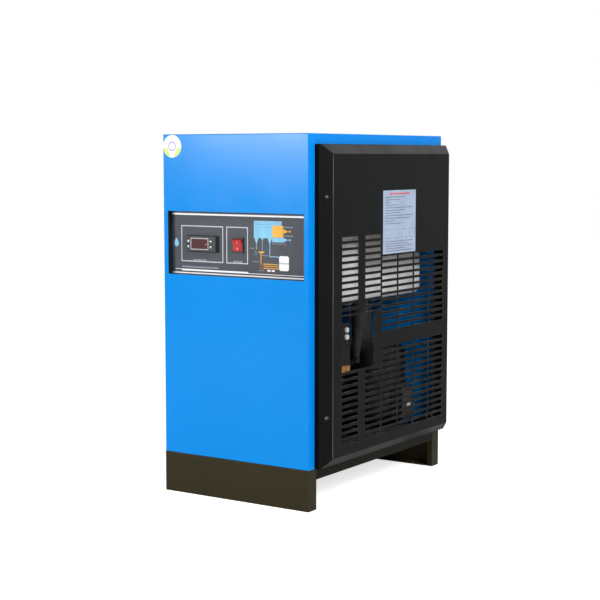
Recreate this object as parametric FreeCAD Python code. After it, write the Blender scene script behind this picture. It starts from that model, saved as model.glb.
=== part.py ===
"""Refrigerated air dryer: a floor-standing cabinet with vented side covers.

The origin is on the floor under the middle of the overall box, the air ports included. The front faces
-Y, the side with the access window faces +X and +Z is up. Lengths are millimetres, angles are degrees.
The sub-parts are laid out about the middle of the cabinet, and main() moves them all to the origin.
"""
import FreeCAD, Part
import math
import os

Vec = FreeCAD.Vector
X_AXIS = Vec(1, 0, 0)
Y_AXIS = Vec(0, 1, 0)
Z_AXIS = Vec(0, 0, 1)

# ---- cabinet ----
WIDTH = 366.0
DEPTH = 552.0
HEIGHT = 760.0
SHEET = 1.5                 # cabinet, cover and bracket sheet
FIT = 0.3                   # gap where one sheet part slips inside or beside another
EDGE_ROUND = 2.0            # outside bend radius of the cabinet and covers
FACE_DEPTH = 3.0            # how far the front panel's edge reaches back
FACE_RETURN = 14.0          # front panel flange that slips inside the shell
REAR_RETURN = 12.0          # rear panel flange that slips inside the shell
SHELL_BORDER = 30.0         # shell left round each side opening

# ---- base ----
BASE_HEIGHT = 83.0
BASE_SHEET = 2.5
LEG_RETURN = 30.0           # how far each cross member wraps round the side
LEG_LIP = 10.0
RAIL_HEIGHT = 21.0
RAIL_FLANGE = 25.0
PAN_SHEET = 2.0

# ---- side covers ----
COVER_SETBACK = 22.0        # cabinet front to cover
COVER_TOP_GAP = 21.0
COVER_WALL = 13.0           # straight wall that stands off the shell
BEVEL_OUT = 19.0
BEVEL_IN = 20.0
SLOT_HEIGHT = 8.0
SLOT_WEB = 5.0              # metal left between two columns of slots
WINDOW_WEB = 27.0           # wider web between the two front columns
ROW_PITCH = 13.6
FRONT_SLOT_MARGIN = 75.0    # cabinet front to the first slot
REAR_SLOT_MARGIN = 46.0     # last slot's end to the cabinet rear
REAR_COLUMNS = 4
UPPER_ROWS = 12
LOWER_ROWS = 14
CONDENSER_ROWS = 19         # rows of the left cover, in front of the condenser
WINDOW_ROWS = 3             # lower rows left out under the access window
UPPER_FRONT_TOP = 548.0     # top row of the two front columns
UPPER_REAR_TOP = 500.5      # top row of the rear columns
LOWER_TOP = 308.5           # top row of the lower group
WINDOW_LENGTH = 126.0
WINDOW_BOTTOM = 277.0
WINDOW_TOP = 391.0

# ---- cover fixings ----
SCREW_INSET = 104.5         # cover end to screw
SCREW_HOLE = 5.4            # square hole for a cage nut
CLIP_WIDTH = 24.0
CLIP_LEG = 14.0
CLIP_FOOT = 4.0

# ---- control recess ----
CONTROL_HEIGHT = 532.5      # height of the controller and the switch
RECESS_MARGIN = 11.0        # cabinet side to the recess
RECESS_ABOVE = 67.5         # recess above the middle of the controls
RECESS_BELOW = 65.5
RECESS_DEPTH = 14.3
RECESS_FLANGE = 7.0
OVERLAY = 0.5
CUTOUT_GAP = 0.3

# ---- controller ----
CONTROLLER_INSET = 94.2     # left side to the controller's middle
BEZEL_WIDTH = 77.0
BEZEL_HEIGHT = 34.5
BEZEL_PROUD = 9.0
BEZEL_CHAMFER = 1.5
BARREL_WIDTH = 71.0
BARREL_HEIGHT = 29.0
BARREL_DEPTH = 55.0
LENS_WIDTH = 42.0
LENS_HEIGHT = 20.0
LENS_SHEET = 1.4
LENS_RIM = 2.5
LENS_RIM_PROUD = 0.6
LENS_X = -3.2               # lens centre from the controller centre
KEY_LEFT = -33.0
KEY_RIGHT = 25.5
KEY_RISE = 5.9
KEY_RADIUS = 3.6
KEY_LENGTH = 3.6
KEY_PROUD = 0.6
KEY_WELL = 5.0
KEY_GAP = 0.1

# ---- rocker switch ----
SWITCH_X = 1.0
SWITCH_WIDTH = 28.0
SWITCH_HEIGHT = 32.0
SWITCH_PROUD = 3.0
SWITCH_BODY_WALL = 1.5
SWITCH_BODY_DEPTH = 24.0
SWITCH_FLOOR = 6.0
ROCKER_WIDTH = 22.5
ROCKER_RADIUS = 12.5
ROCKER_PROUD = 0.4          # middle of the rocker above its frame
ROCKER_TILT = 8.0
ROCKER_GAP = 0.3
ROCKER_BACK = 4.0
PIVOT_DEPTH = 2.0           # pivot behind the frame's front
PIN_RADIUS = 1.5
PIN_LENGTH = 1.1
PIN_GAP = 0.06

# ---- heat exchanger ----
EXCHANGER_LEFT_GAP = 123.0  # cabinet side to the exchanger
EXCHANGER_RIGHT_GAP = 43.0
EXCHANGER_LENGTH = 337.0
EXCHANGER_HEIGHT = 200.0
EXCHANGER_BOTTOM = 400.0
EXCHANGER_REAR_GAP = 17.5
EXCHANGER_ROUND = 20.0
RACK_LEFT = 22.0            # exchanger's left side to the left rail
RACK_RIGHT = 72.0           # exchanger's right side to the right rail
RACK_ANGLE = 15.0
RACK_SHEET = 2.0
RACK_OVERHANG = 30.0        # posts behind the exchanger's front

# ---- air ports ----
PORT_SPREAD = 50.0
PORT_BORE = 15.15           # radius, G1 thread's minor diameter
PORT_RADIUS = 21.0
PORT_PROUD = 24.0
PORT_HOLE_GAP = 0.5
PORT_BORE_DEPTH = 22.0
LOCKNUT_FLATS = 52.0
LOCKNUT_HEIGHT = 8.0
LOCKNUT_GAP = 0.06

# ---- compressor ----
COMPRESSOR_INSET = 108.0    # right side to the compressor's axis
COMPRESSOR_REAR = 126.0     # cabinet rear to the compressor's axis
COMPRESSOR_RADIUS = 78.0
COMPRESSOR_HEIGHT = 196.0
COMPRESSOR_DOME = 34.0
COMPRESSOR_FLAT = 44.0      # radius of the flat bottom and top
SEAM_HEIGHT = 5.0
SEAM_PROUD = 3.0
FOOT_PLATE = 150.0
FOOT_PLATE_SHEET = 4.0
FOOT_SPREAD = 60.0
GROMMET_HEIGHT = 15.0
GROMMET_RADIUS = 12.0
FOOT_NUT_FLATS = 13.0
FOOT_NUT_HEIGHT = 6.5
TERMINAL_OUT = 23.0
TERMINAL_WIDTH = 46.0
TERMINAL_HEIGHT = 70.0
TERMINAL_Y = -9.0           # terminal cover's middle from the compressor's axis
TERMINAL_RISE = 60.0        # above the foot plate

# ---- condenser and fan ----
CONDENSER_GAP = 15.0        # left side to the condenser
CONDENSER_THICK = 22.0
CONDENSER_LENGTH = 370.0
CONDENSER_BOTTOM = 100.0
CONDENSER_TOP = 390.0
CORE_WEB = 8.0
FIN_COUNT = 18
FIN_SHEET = 1.2
END_PLATE_LAP = 4.0
TUBE_COUNT = 8
TUBE_MARGIN = 14.0
RETURN_BEND = 8.0           # section of a return bend
SHROUD_RADIUS = 128.0
SHROUD_COLLAR = 22.0
BLADE_TIP = 116.0           # shaft's axis to the middle of a blade's tip
HUB_RADIUS = 45.0
HUB_LENGTH = 28.0
HUB_INSET = 6.0             # hub behind the shroud plate
BLADE_COUNT = 5
BLADE_SHEET = 1.6
BLADE_ROOT_CHORD = 46.0
BLADE_TIP_CHORD = 74.0
BLADE_ROOT_PITCH = 34.0
BLADE_TIP_PITCH = 17.0
MOTOR_RADIUS = 40.0
MOTOR_LENGTH = 42.0
MOTOR_GAP = 2.0
SHAFT_RADIUS = 4.0
SHAFT_GAP = 0.05
SHAFT_GRIP = 24.0           # shaft length inside the motor
BRACKET_SPAN = 140.0
BRACKET_HEIGHT = 30.0

# ---- refrigerant lines ----
LINE_RADIUS = 5.0
LINE_STUB = 3.0             # straight end of a line at the condenser
CONDENSER_BEND = 8.0
DISCHARGE_RISE = 148.0      # above the foot plate
DISCHARGE_RUN = 45.0
DRIER_RADIUS = 12.0
DRIER_LENGTH = 60.0
DRIER_GAP = 17.0            # drier to the compressor's left side
CAPILLARY_RADIUS = 1.6
CAPILLARY_BEND = 6.0
SUCTION_RADIUS = 13.0
SUCTION_X = -25.0           # from the compressor's axis
BYPASS_OFFSET = 11.0        # bypass line from the compressor's side
BYPASS_LINE = 3.5
BYPASS_BEND = 12.0
BYPASS_AHEAD = 130.0        # bypass valve in front of the compressor's axis
BYPASS_DROP = 55.0          # bypass line below the exchanger
BYPASS_BODY_RADIUS = 14.0
BYPASS_BODY_HEIGHT = 40.0
BYPASS_CAP = 8.0
PRESSURE_RADIUS = 9.0
PRESSURE_HEIGHT = 26.0
PRESSURE_NECK = 8.0

# ---- drain ----
NECK_ASIDE = 36.0           # exchanger's right side to the drain neck
NECK_BEHIND = 140.0         # exchanger's front to the drain neck
NECK_RADIUS = 16.0
NECK_LENGTH = 65.0
NECK_TAPER = 18.0
SLEEVE_RADIUS = 9.0
SLEEVE_BOTTOM = 292.0
DRAIN_LINE = 5.0
DRAIN_BEND = 15.0
VALVE_INSET = 33.0          # right side to the drain valve
VALVE_FRONT = 166.0         # cabinet front to the drain valve
VALVE_BOTTOM = 259.0
VALVE_LENGTH = 30.0
VALVE_WIDTH = 24.0
VALVE_HEIGHT = 18.0
VALVE_BOSS = 6.0            # length of each port's boss
VALVE_BOSS_FLATS = 16.0
VALVE_APPROACH = 36.0
COIL_SIZE = 36.0
COIL_HEIGHT = 42.0
TIMER_HEIGHT = 46.0
TIMER_THICK = 28.0
TIMER_PROUD = 1.0           # timer's face past the coil's
DIAL_UPPER = 34.0
DIAL_LOWER = 19.0
DIAL_RADIUS = 5.5
DIAL_LENGTH = 8.0
DIAL_PROUD = 3.5
DIAL_WELL = 5.0
DIAL_SLOT = 1.2
DIAL_GAP = 0.06
TEST_RISE = 7.0
TEST_RADIUS = 3.0
TEST_LENGTH = 6.0
TEST_PROUD = 2.0
TEST_WELL = 6.5
HOSE_RADIUS = 4.0
HOSE_BEND = 20.0
HOSE_INSET = 19.0           # right side to the hose
HOSE_HEIGHT = 112.0
HOSE_LOOP = 30.0            # hose in front of the valve
BULKHEAD_RADIUS = 7.0
BULKHEAD_PROUD = 16.0
BULKHEAD_BORE = 4.1
BULKHEAD_FLATS = 17.0
FITTING_TAIL = 5.0          # rear fittings inside the panel

# ---- electrics ----
GLAND_INSET = 73.0          # right side to the gland
GLAND_HEIGHT = 130.0
GLAND_RADIUS = 9.2
GLAND_BORE = 5.0
GLAND_FLATS = 22.0
GLAND_PROUD = 20.0
PANEL_HOLE_GAP = 0.3
PLATE_ASIDE = 26.0          # condenser to the electrical plate
PLATE_WIDTH = 120.0
PLATE_HEIGHT = 150.0
PLATE_FRONT_GAP = 60.0      # cabinet front to the electrical plate
PLATE_FOOT = 46.0
CAPACITOR_RADIUS = 20.0
CAPACITOR_HEIGHT = 84.0
CAPACITOR_ASIDE = 85.0      # plate's left edge to the capacitor
BLOCK_WIDTH = 60.0
BLOCK_HEIGHT = 25.0
BLOCK_DEPTH = 22.0
BLOCK_ASIDE = 35.0          # plate's left edge to the terminal block's middle
BLOCK_RISE = 105.0

# ---- facets of small round pieces and bends ----
ROUND_SIDES = 12
TURNED_SIDES = 24
SHROUD_SIDES = 48
BEND_STEPS = 3
BLADE_STEPS = 4

# ---- places that follow ----
SIDE = WIDTH / 2
FRONT = -DEPTH / 2
REAR = DEPTH / 2
DECK = BASE_HEIGHT + PAN_SHEET
REAR_INNER = REAR - SHEET
COVER_FRONT = FRONT + COVER_SETBACK
COVER_BOTTOM = DECK + FIT
COVER_TOP = HEIGHT - COVER_TOP_GAP
COVER_FACE = SIDE + COVER_WALL + BEVEL_OUT
SLOT_FIELD = DEPTH - FRONT_SLOT_MARGIN - REAR_SLOT_MARGIN
SLOT_LENGTH = (SLOT_FIELD - WINDOW_WEB - REAR_COLUMNS * SLOT_WEB) / (REAR_COLUMNS + 2)
SLOT_PITCH = SLOT_LENGTH + SLOT_WEB
RECESS_WIDTH = WIDTH - 2 * RECESS_MARGIN
RECESS_BOTTOM = CONTROL_HEIGHT - RECESS_BELOW
RECESS_TOP = CONTROL_HEIGHT + RECESS_ABOVE
RECESS_FLOOR = FRONT + RECESS_DEPTH
CONTROLLER_X = CONTROLLER_INSET - SIDE
EXCHANGER_LEFT = EXCHANGER_LEFT_GAP - SIDE
EXCHANGER_RIGHT = SIDE - EXCHANGER_RIGHT_GAP
EXCHANGER_X = (EXCHANGER_LEFT + EXCHANGER_RIGHT) / 2
EXCHANGER_REAR = REAR_INNER - EXCHANGER_REAR_GAP
EXCHANGER_FRONT = EXCHANGER_REAR - EXCHANGER_LENGTH
PORT_HEIGHT = EXCHANGER_BOTTOM + EXCHANGER_HEIGHT / 2
LOCKNUT_HOLE = (PORT_RADIUS + LOCKNUT_GAP) / math.cos(math.pi / TURNED_SIDES)
COMPRESSOR_X = SIDE - COMPRESSOR_INSET
COMPRESSOR_Y = REAR - COMPRESSOR_REAR
FOOT_BOTTOM = DECK + GROMMET_HEIGHT
SHELL_BOTTOM = FOOT_BOTTOM + FOOT_PLATE_SHEET
CONDENSER_OUTER_X = CONDENSER_GAP - SIDE
CONDENSER_INNER_X = CONDENSER_OUTER_X + CONDENSER_THICK
CONDENSER_MID_X = CONDENSER_OUTER_X + CONDENSER_THICK / 2
SHROUD_X = CONDENSER_INNER_X + END_PLATE_LAP
FAN_HEIGHT = (CONDENSER_BOTTOM + CONDENSER_TOP) / 2
HUB_X = SHROUD_X + HUB_INSET
MOTOR_X = HUB_X + HUB_LENGTH + MOTOR_GAP
TUBE_LOW = CONDENSER_BOTTOM + TUBE_MARGIN
TUBE_PITCH = (CONDENSER_TOP - CONDENSER_BOTTOM - 2 * TUBE_MARGIN) / (TUBE_COUNT - 1)
TUBE_HIGH = CONDENSER_TOP - TUBE_MARGIN
CONDENSER_END = CONDENSER_LENGTH / 2 + SHEET
LINE_Y = CONDENSER_END + LINE_STUB
DRIER_X = COMPRESSOR_X - COMPRESSOR_RADIUS - DRIER_GAP - DRIER_LENGTH
BYPASS_Y = COMPRESSOR_Y - BYPASS_AHEAD
NECK_X = EXCHANGER_RIGHT - NECK_ASIDE
NECK_Y = EXCHANGER_FRONT + NECK_BEHIND
VALVE_X = SIDE - VALVE_INSET
VALVE_Y = FRONT + VALVE_FRONT
HOSE_X = SIDE - HOSE_INSET
GLAND_X = SIDE - GLAND_INSET
PLATE_LEFT = CONDENSER_INNER_X + PLATE_ASIDE
VALVE_LINE = VALVE_BOTTOM + VALVE_HEIGHT / 2
COIL_BOTTOM = VALVE_BOTTOM + VALVE_HEIGHT
TIMER_BOTTOM = COIL_BOTTOM + COIL_HEIGHT
TIMER_FACE = VALVE_X + COIL_SIZE / 2 + TIMER_PROUD
SWITCH_FACE = RECESS_FLOOR - SWITCH_PROUD
PIVOT_Y = SWITCH_FACE + PIVOT_DEPTH


# ---- shared shapes ----

def block(x0, x1, y0, y1, z0, z1):
    return Part.makeBox(x1 - x0, y1 - y0, z1 - z0, Vec(x0, y0, z0))


def rod(radius, start, along, length):
    return Part.makeCylinder(radius, length, start, along)


def flat(corners):
    """Flat face inside the closed outline through the corners."""
    return Part.Face(Part.makePolygon(corners + [corners[0]]))


def prism(corners, along):
    return flat(corners).extrude(along)


def ring_of_points(sides, reach, centre, along):
    """Corners of a regular polygon square to the direction."""
    turn = FreeCAD.Rotation(Z_AXIS, along)
    corners = []
    for step in range(sides):
        angle = 2 * math.pi * step / sides
        corners.append(centre + turn.multVec(Vec(reach * math.cos(angle), reach * math.sin(angle), 0)))
    return corners


def hexagon(flats, start, along, height):
    """Hexagonal prism measured across its flats."""
    return prism(ring_of_points(6, flats / math.sqrt(3), start, along), along * height)


def skin(sections):
    """Solid of flat facets over a row of sections that have as many corners each."""
    faces = [flat(sections[0]), flat(sections[-1])]
    for first, second in zip(sections, sections[1:]):
        for here in range(len(first)):
            there = (here + 1) % len(first)
            faces.append(flat([first[here], first[there], second[there]]))
            faces.append(flat([first[here], second[there], second[here]]))
    shell = Part.makeShell(faces)
    shell.sewShape()
    solid = Part.makeSolid(shell)
    if solid.Volume < 0:
        solid.reverse()
    return solid


def turned(stations, centre):
    """Upright piece turned about the centre from (radius, height) stations, in flat facets."""
    return skin([ring_of_points(TURNED_SIDES, radius, Vec(centre.x, centre.y, z), Z_AXIS)
                 for radius, z in stations])


def post(radius, start, along, length):
    """Small round piece, kept to ROUND_SIDES flat sides."""
    return prism(ring_of_points(ROUND_SIDES, radius, start, along), along * length)


def round_edges(shape, radius, wanted):
    """Round the edges that the test picks by their middle."""
    edges = [edge for edge in shape.Edges if wanted(edge.CenterOfMass)]
    return shape.makeFillet(radius, edges)


def near(value, target):
    return abs(value - target) < 1e-4


def bend(before, corner, after, radius):
    """Points of the bend that rounds a corner, tangent to both of its runs."""
    into = (corner - before).normalize()
    out = (after - corner).normalize()
    turn = into.getAngle(out)
    setback = radius * math.tan(turn / 2)
    centre = corner + (out - into).normalize() * (radius / math.cos(turn / 2))
    arm = corner - into * setback - centre
    axis = into.cross(out)
    points = []
    for step in range(BEND_STEPS + 1):
        spin = FreeCAD.Rotation(axis, math.degrees(turn) * step / BEND_STEPS)
        points.append(centre + spin.multVec(arm))
    return points


def tube(points, radius, bend_radius):
    """Slim tube along straight runs with a bend at each corner."""
    path = [points[0]]
    for before, corner, after in zip(points, points[1:], points[2:]):
        path += bend(before, corner, after, bend_radius)
    path.append(points[-1])
    corners = ring_of_points(ROUND_SIDES, radius, path[0], (path[1] - path[0]).normalize())
    sections = [corners]
    for before, joint, after in zip(path, path[1:], path[2:] + [None]):
        run = (joint - before).normalize()
        square = run if after is None else run + (after - joint).normalize()
        corners = [corner + run * ((joint - corner).dot(square) / run.dot(square)) for corner in corners]
        sections.append(corners)
    return skin(sections)


def mirrored(shape, middle, normal):
    return shape.mirror(middle, normal)


# ---- base ----

def front_channel():
    """Folded cross member: web, wrapped legs with lips, top and bottom flanges."""
    inner_side = SIDE - BASE_SHEET
    back = FRONT + LEG_RETURN
    channel = block(-SIDE, SIDE, FRONT, back, 0, BASE_HEIGHT)
    hollow = block(-inner_side, inner_side, FRONT + BASE_SHEET, back - BASE_SHEET,
                   BASE_SHEET, BASE_HEIGHT - BASE_SHEET)
    mouth_side = inner_side - LEG_LIP
    mouth = block(-mouth_side, mouth_side, back - BASE_SHEET, back, BASE_SHEET, BASE_HEIGHT - BASE_SHEET)
    return channel.cut(hollow).cut(mouth)


def side_rail():
    """Angle between the cross members under the pan's edge."""
    front = FRONT + LEG_RETURN
    rear = REAR - LEG_RETURN
    low = BASE_HEIGHT - RAIL_HEIGHT
    web = block(SIDE - BASE_SHEET, SIDE, front, rear, low, BASE_HEIGHT)
    flange = block(SIDE - RAIL_FLANGE, SIDE, front, rear, BASE_HEIGHT - BASE_SHEET, BASE_HEIGHT)
    return web.fuse(flange).removeSplitter()


def side_rails():
    rail = side_rail()
    return Part.makeCompound([rail, mirrored(rail, Vec(), X_AXIS)])


def floor_pan():
    return block(-SIDE, SIDE, FRONT, REAR, BASE_HEIGHT, DECK)


# ---- cabinet ----

def cabinet_shell():
    """Top and both sides folded from one sheet, with a large opening in each side."""
    front = FRONT + FACE_DEPTH + FIT
    shell = block(-SIDE, SIDE, front, REAR, DECK, HEIGHT)
    shell = round_edges(shell, EDGE_ROUND, lambda p: near(p.z, HEIGHT) and near(abs(p.x), SIDE))
    inner_side = SIDE - SHEET
    room = block(-inner_side, inner_side, front, REAR, DECK, HEIGHT - SHEET)
    opening = block(-SIDE, SIDE, FRONT + SHELL_BORDER, REAR - SHELL_BORDER,
                    DECK + SHELL_BORDER, HEIGHT - SHELL_BORDER)
    return shell.cut(room).cut(opening)


def front_panel():
    """Face with rounded edges, a flange that slips into the shell and the control opening."""
    face_back = FRONT + FACE_DEPTH
    face = block(-SIDE, SIDE, FRONT, face_back, DECK, HEIGHT)
    face = round_edges(face, EDGE_ROUND, lambda p: near(p.y, FRONT))
    flange_side = SIDE - SHEET - FIT
    flange_top = HEIGHT - SHEET - FIT
    flange_back = face_back + FACE_RETURN
    flange = block(-flange_side, flange_side, face_back, flange_back, DECK + FIT, flange_top)
    room = block(-flange_side + SHEET, flange_side - SHEET, FRONT + SHEET, flange_back,
                 DECK + FIT + SHEET, flange_top - SHEET)
    half = RECESS_WIDTH / 2
    opening = block(-half, half, FRONT, FRONT + SHEET, RECESS_BOTTOM, RECESS_TOP)
    return face.fuse(flange).cut(room).cut(opening).removeSplitter()


def rear_panel():
    """Flat panel with flanges folded forward and holes for the ports, the cable and the drain."""
    side = SIDE - SHEET - FIT
    top = HEIGHT - SHEET - FIT
    panel = block(-side, side, REAR_INNER - REAR_RETURN, REAR, DECK, top)
    room = block(-side + SHEET, side - SHEET, REAR_INNER - REAR_RETURN, REAR_INNER,
                 DECK + SHEET, top - SHEET)
    panel = panel.cut(room)
    holes = [(port_x, PORT_HEIGHT, PORT_RADIUS + PORT_HOLE_GAP) for port_x in port_places()]
    holes.append((GLAND_X, GLAND_HEIGHT, GLAND_RADIUS + PANEL_HOLE_GAP))
    holes.append((HOSE_X, HOSE_HEIGHT, BULKHEAD_RADIUS + PANEL_HOLE_GAP))
    for x, z, radius in holes:
        panel = panel.cut(rod(radius, Vec(x, REAR_INNER, z), Y_AXIS, SHEET))
    return panel


# ---- side covers ----

def cover_block(inset):
    """Solid block inside the cover's outside surface, moved inwards by the inset."""
    wall_bend = math.atan2(BEVEL_IN, BEVEL_OUT)
    face_bend = math.pi / 2 - wall_bend
    front = COVER_FRONT + inset
    rear = REAR - inset
    low = COVER_BOTTOM + inset
    top = COVER_TOP - inset
    shoulder = SIDE + COVER_WALL - inset * math.tan(wall_bend / 2)
    face = COVER_FACE - inset
    taper = BEVEL_IN - inset + inset * math.tan(face_bend / 2)
    body = block(SIDE, face, front, rear, low, top)
    length = Vec(0, rear - front, 0)
    height = Vec(0, 0, top - low)
    for edge, inward in ((front, taper), (rear, -taper)):
        body = body.cut(prism([Vec(shoulder, edge, low), Vec(face, edge + inward, low),
                               Vec(face, edge, low)], height))
    for edge, inward in ((low, taper), (top, -taper)):
        body = body.cut(prism([Vec(shoulder, front, edge), Vec(face, front, edge + inward),
                               Vec(face, front, edge)], length))
    return body


def slot_columns():
    """Front ends of the two front columns, then of the rear columns."""
    first = FRONT + FRONT_SLOT_MARGIN
    second = first + SLOT_LENGTH + WINDOW_WEB
    return [first, second], [second + SLOT_PITCH * (step + 1) for step in range(REAR_COLUMNS)]


def slot_rows(top, count):
    return [top - ROW_PITCH * row for row in range(count)]


def right_slots():
    """Slot groups of the right cover: two fields stepped round the access window."""
    front_columns, rear_columns = slot_columns()
    lower = slot_rows(LOWER_TOP, LOWER_ROWS)
    return [(front_columns, slot_rows(UPPER_FRONT_TOP, UPPER_ROWS) + lower[WINDOW_ROWS:]),
            (rear_columns, slot_rows(UPPER_REAR_TOP, UPPER_ROWS) + lower)]


def left_slots():
    """Slot group of the left cover: one field in front of the condenser."""
    front_columns, rear_columns = slot_columns()
    top = LOWER_TOP + ROW_PITCH * (CONDENSER_ROWS - LOWER_ROWS)
    return [(front_columns + rear_columns[:-1], slot_rows(top, CONDENSER_ROWS))]


def slot_cutters(groups):
    cutters = []
    for columns, rows in groups:
        for y in columns:
            for z in rows:
                cutters.append(block(COVER_FACE - 2 * SHEET, COVER_FACE + SHEET, y, y + SLOT_LENGTH,
                                     z - SLOT_HEIGHT / 2, z + SLOT_HEIGHT / 2))
    return cutters


def bevel_frame():
    """Middle of the front bevel at height zero, its outward normal and its uphill direction."""
    middle = Vec(SIDE + COVER_WALL + BEVEL_OUT / 2, COVER_FRONT + BEVEL_IN / 2, 0)
    uphill = Vec(BEVEL_OUT, BEVEL_IN, 0).normalize()
    return middle, Vec(uphill.y, -uphill.x, 0), uphill


def screw_heights():
    return [COVER_BOTTOM + SCREW_INSET, COVER_TOP - SCREW_INSET]


def front_and_rear(shape):
    """The shape on the front bevel and its copy on the rear bevel."""
    middle = Vec(0, (COVER_FRONT + REAR) / 2, 0)
    return [shape, mirrored(shape, middle, Y_AXIS)]


def both_sides(shapes):
    return Part.makeCompound(shapes + [mirrored(shape, Vec(), X_AXIS) for shape in shapes])


def screw_hole(z, depth):
    """Cutting block for the square hole of a screw in the front bevel and what lies under it."""
    middle, normal, uphill = bevel_frame()
    start = middle + Vec(0, 0, z) - normal * depth
    across = uphill * (SCREW_HOLE / 2)
    up = Z_AXIS * (SCREW_HOLE / 2)
    return prism([start - across - up, start + across - up, start + across + up, start - across + up],
                 normal * 2 * depth)


def side_cover(groups, cutouts):
    """Pressed tray with a bevel all round, ventilation slots and its other cut-outs."""
    cover = cover_block(0).cut(cover_block(SHEET))
    cutters = slot_cutters(groups) + cutouts
    for z in screw_heights():
        cutters += front_and_rear(screw_hole(z, 2 * SHEET))
    return cover.cut(Part.makeCompound(cutters))


def access_window():
    front = slot_columns()[0][0]
    return block(COVER_FACE - 2 * SHEET, COVER_FACE + SHEET, front, front + WINDOW_LENGTH,
                 WINDOW_BOTTOM, WINDOW_TOP)


def cover_clip(z):
    """Bent tab that stands on the shell's border and backs the bevel at a screw."""
    middle, normal, uphill = bevel_frame()
    back = middle - normal * SHEET
    low = back - uphill * (CLIP_LEG / 2)
    high = back + uphill * (CLIP_LEG / 2)
    under_low = low - normal * SHEET
    slide = (low.y + SHEET - under_low.y) / uphill.y
    outline = [Vec(SIDE, low.y - CLIP_FOOT, 0), Vec(SIDE + SHEET, low.y - CLIP_FOOT, 0),
               Vec(SIDE + SHEET, low.y, 0), low, high, high - normal * SHEET,
               under_low + uphill * slide, Vec(SIDE, low.y + SHEET, 0)]
    bottom = Vec(0, 0, z - CLIP_WIDTH / 2)
    tab = prism([corner + bottom for corner in outline], Z_AXIS * CLIP_WIDTH)
    return tab.cut(screw_hole(z, 3 * SHEET))


def cover_clips():
    tabs = []
    for z in screw_heights():
        tabs += front_and_rear(cover_clip(z))
    return both_sides(tabs)


# ---- control recess ----

def controller_cutout(front, back):
    half_width = BARREL_WIDTH / 2 + CUTOUT_GAP
    half_height = BARREL_HEIGHT / 2 + CUTOUT_GAP
    return block(CONTROLLER_X - half_width, CONTROLLER_X + half_width, front, back,
                 CONTROL_HEIGHT - half_height, CONTROL_HEIGHT + half_height)


def switch_body_half():
    """Half width and half height of the switch body behind its frame."""
    return (ROCKER_WIDTH / 2 + ROCKER_GAP + SWITCH_BODY_WALL,
            ROCKER_RADIUS + ROCKER_GAP + SWITCH_BODY_WALL)


def switch_cutout(front, back):
    half_width, half_height = switch_body_half()
    return block(SWITCH_X - half_width - CUTOUT_GAP, SWITCH_X + half_width + CUTOUT_GAP, front, back,
                 CONTROL_HEIGHT - half_height - CUTOUT_GAP, CONTROL_HEIGHT + half_height + CUTOUT_GAP)


def control_tray():
    """Recess pan whose flange lies against the back of the front panel."""
    half = RECESS_WIDTH / 2
    flange_front = FRONT + SHEET
    floor = RECESS_FLOOR + OVERLAY
    pan = block(-half - SHEET, half + SHEET, flange_front, floor + SHEET,
                RECESS_BOTTOM - SHEET, RECESS_TOP + SHEET)
    flange = block(-half - RECESS_FLANGE, half + RECESS_FLANGE, flange_front, flange_front + SHEET,
                   RECESS_BOTTOM - RECESS_FLANGE, RECESS_TOP + RECESS_FLANGE)
    room = block(-half, half, flange_front, floor, RECESS_BOTTOM, RECESS_TOP)
    tray = pan.fuse(flange).cut(room)
    tray = tray.cut(controller_cutout(floor, floor + SHEET))
    return tray.cut(switch_cutout(floor, floor + SHEET)).removeSplitter()


def control_overlay():
    """Printed sheet on the floor of the recess."""
    half = RECESS_WIDTH / 2 - FIT
    back = RECESS_FLOOR + OVERLAY
    sheet = block(-half, half, RECESS_FLOOR, back, RECESS_BOTTOM + FIT, RECESS_TOP - FIT)
    return sheet.cut(controller_cutout(RECESS_FLOOR, back)).cut(switch_cutout(RECESS_FLOOR, back))


# ---- controller ----

def key_places():
    places = {}
    for column, x in (("left", KEY_LEFT), ("right", KEY_RIGHT)):
        for row, rise in (("upper", KEY_RISE), ("lower", -KEY_RISE)):
            places[row + "_" + column] = (CONTROLLER_X + x, CONTROL_HEIGHT + rise)
    return places


def lens_block(front, back, grow):
    half_width = LENS_WIDTH / 2 + grow
    half_height = LENS_HEIGHT / 2 + grow
    centre = CONTROLLER_X + LENS_X
    return block(centre - half_width, centre + half_width, front, back,
                 CONTROL_HEIGHT - half_height, CONTROL_HEIGHT + half_height)


def controller_case():
    """Bezel in front of the overlay, barrel behind it, a rim round the lens and wells for the keys."""
    face = RECESS_FLOOR - BEZEL_PROUD
    half = BEZEL_WIDTH / 2
    bezel = block(CONTROLLER_X - half, CONTROLLER_X + half, face, RECESS_FLOOR,
                  CONTROL_HEIGHT - BEZEL_HEIGHT / 2, CONTROL_HEIGHT + BEZEL_HEIGHT / 2)
    face_edges = [edge for edge in bezel.Edges if near(edge.CenterOfMass.y, face)]
    bezel = bezel.makeChamfer(BEZEL_CHAMFER, face_edges)
    barrel = block(CONTROLLER_X - BARREL_WIDTH / 2, CONTROLLER_X + BARREL_WIDTH / 2,
                   RECESS_FLOOR, RECESS_FLOOR + BARREL_DEPTH,
                   CONTROL_HEIGHT - BARREL_HEIGHT / 2, CONTROL_HEIGHT + BARREL_HEIGHT / 2)
    rim_face = face - LENS_RIM_PROUD
    case = bezel.fuse(barrel).fuse(lens_block(rim_face, face, LENS_RIM))
    case = case.cut(lens_block(rim_face, rim_face + LENS_SHEET, KEY_GAP))
    for x, z in key_places().values():
        case = case.cut(post(KEY_RADIUS + KEY_GAP, Vec(x, face, z), Y_AXIS, KEY_WELL))
    return case.removeSplitter()


def controller_lens():
    rim_face = RECESS_FLOOR - BEZEL_PROUD - LENS_RIM_PROUD
    return lens_block(rim_face, rim_face + LENS_SHEET, 0)


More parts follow.
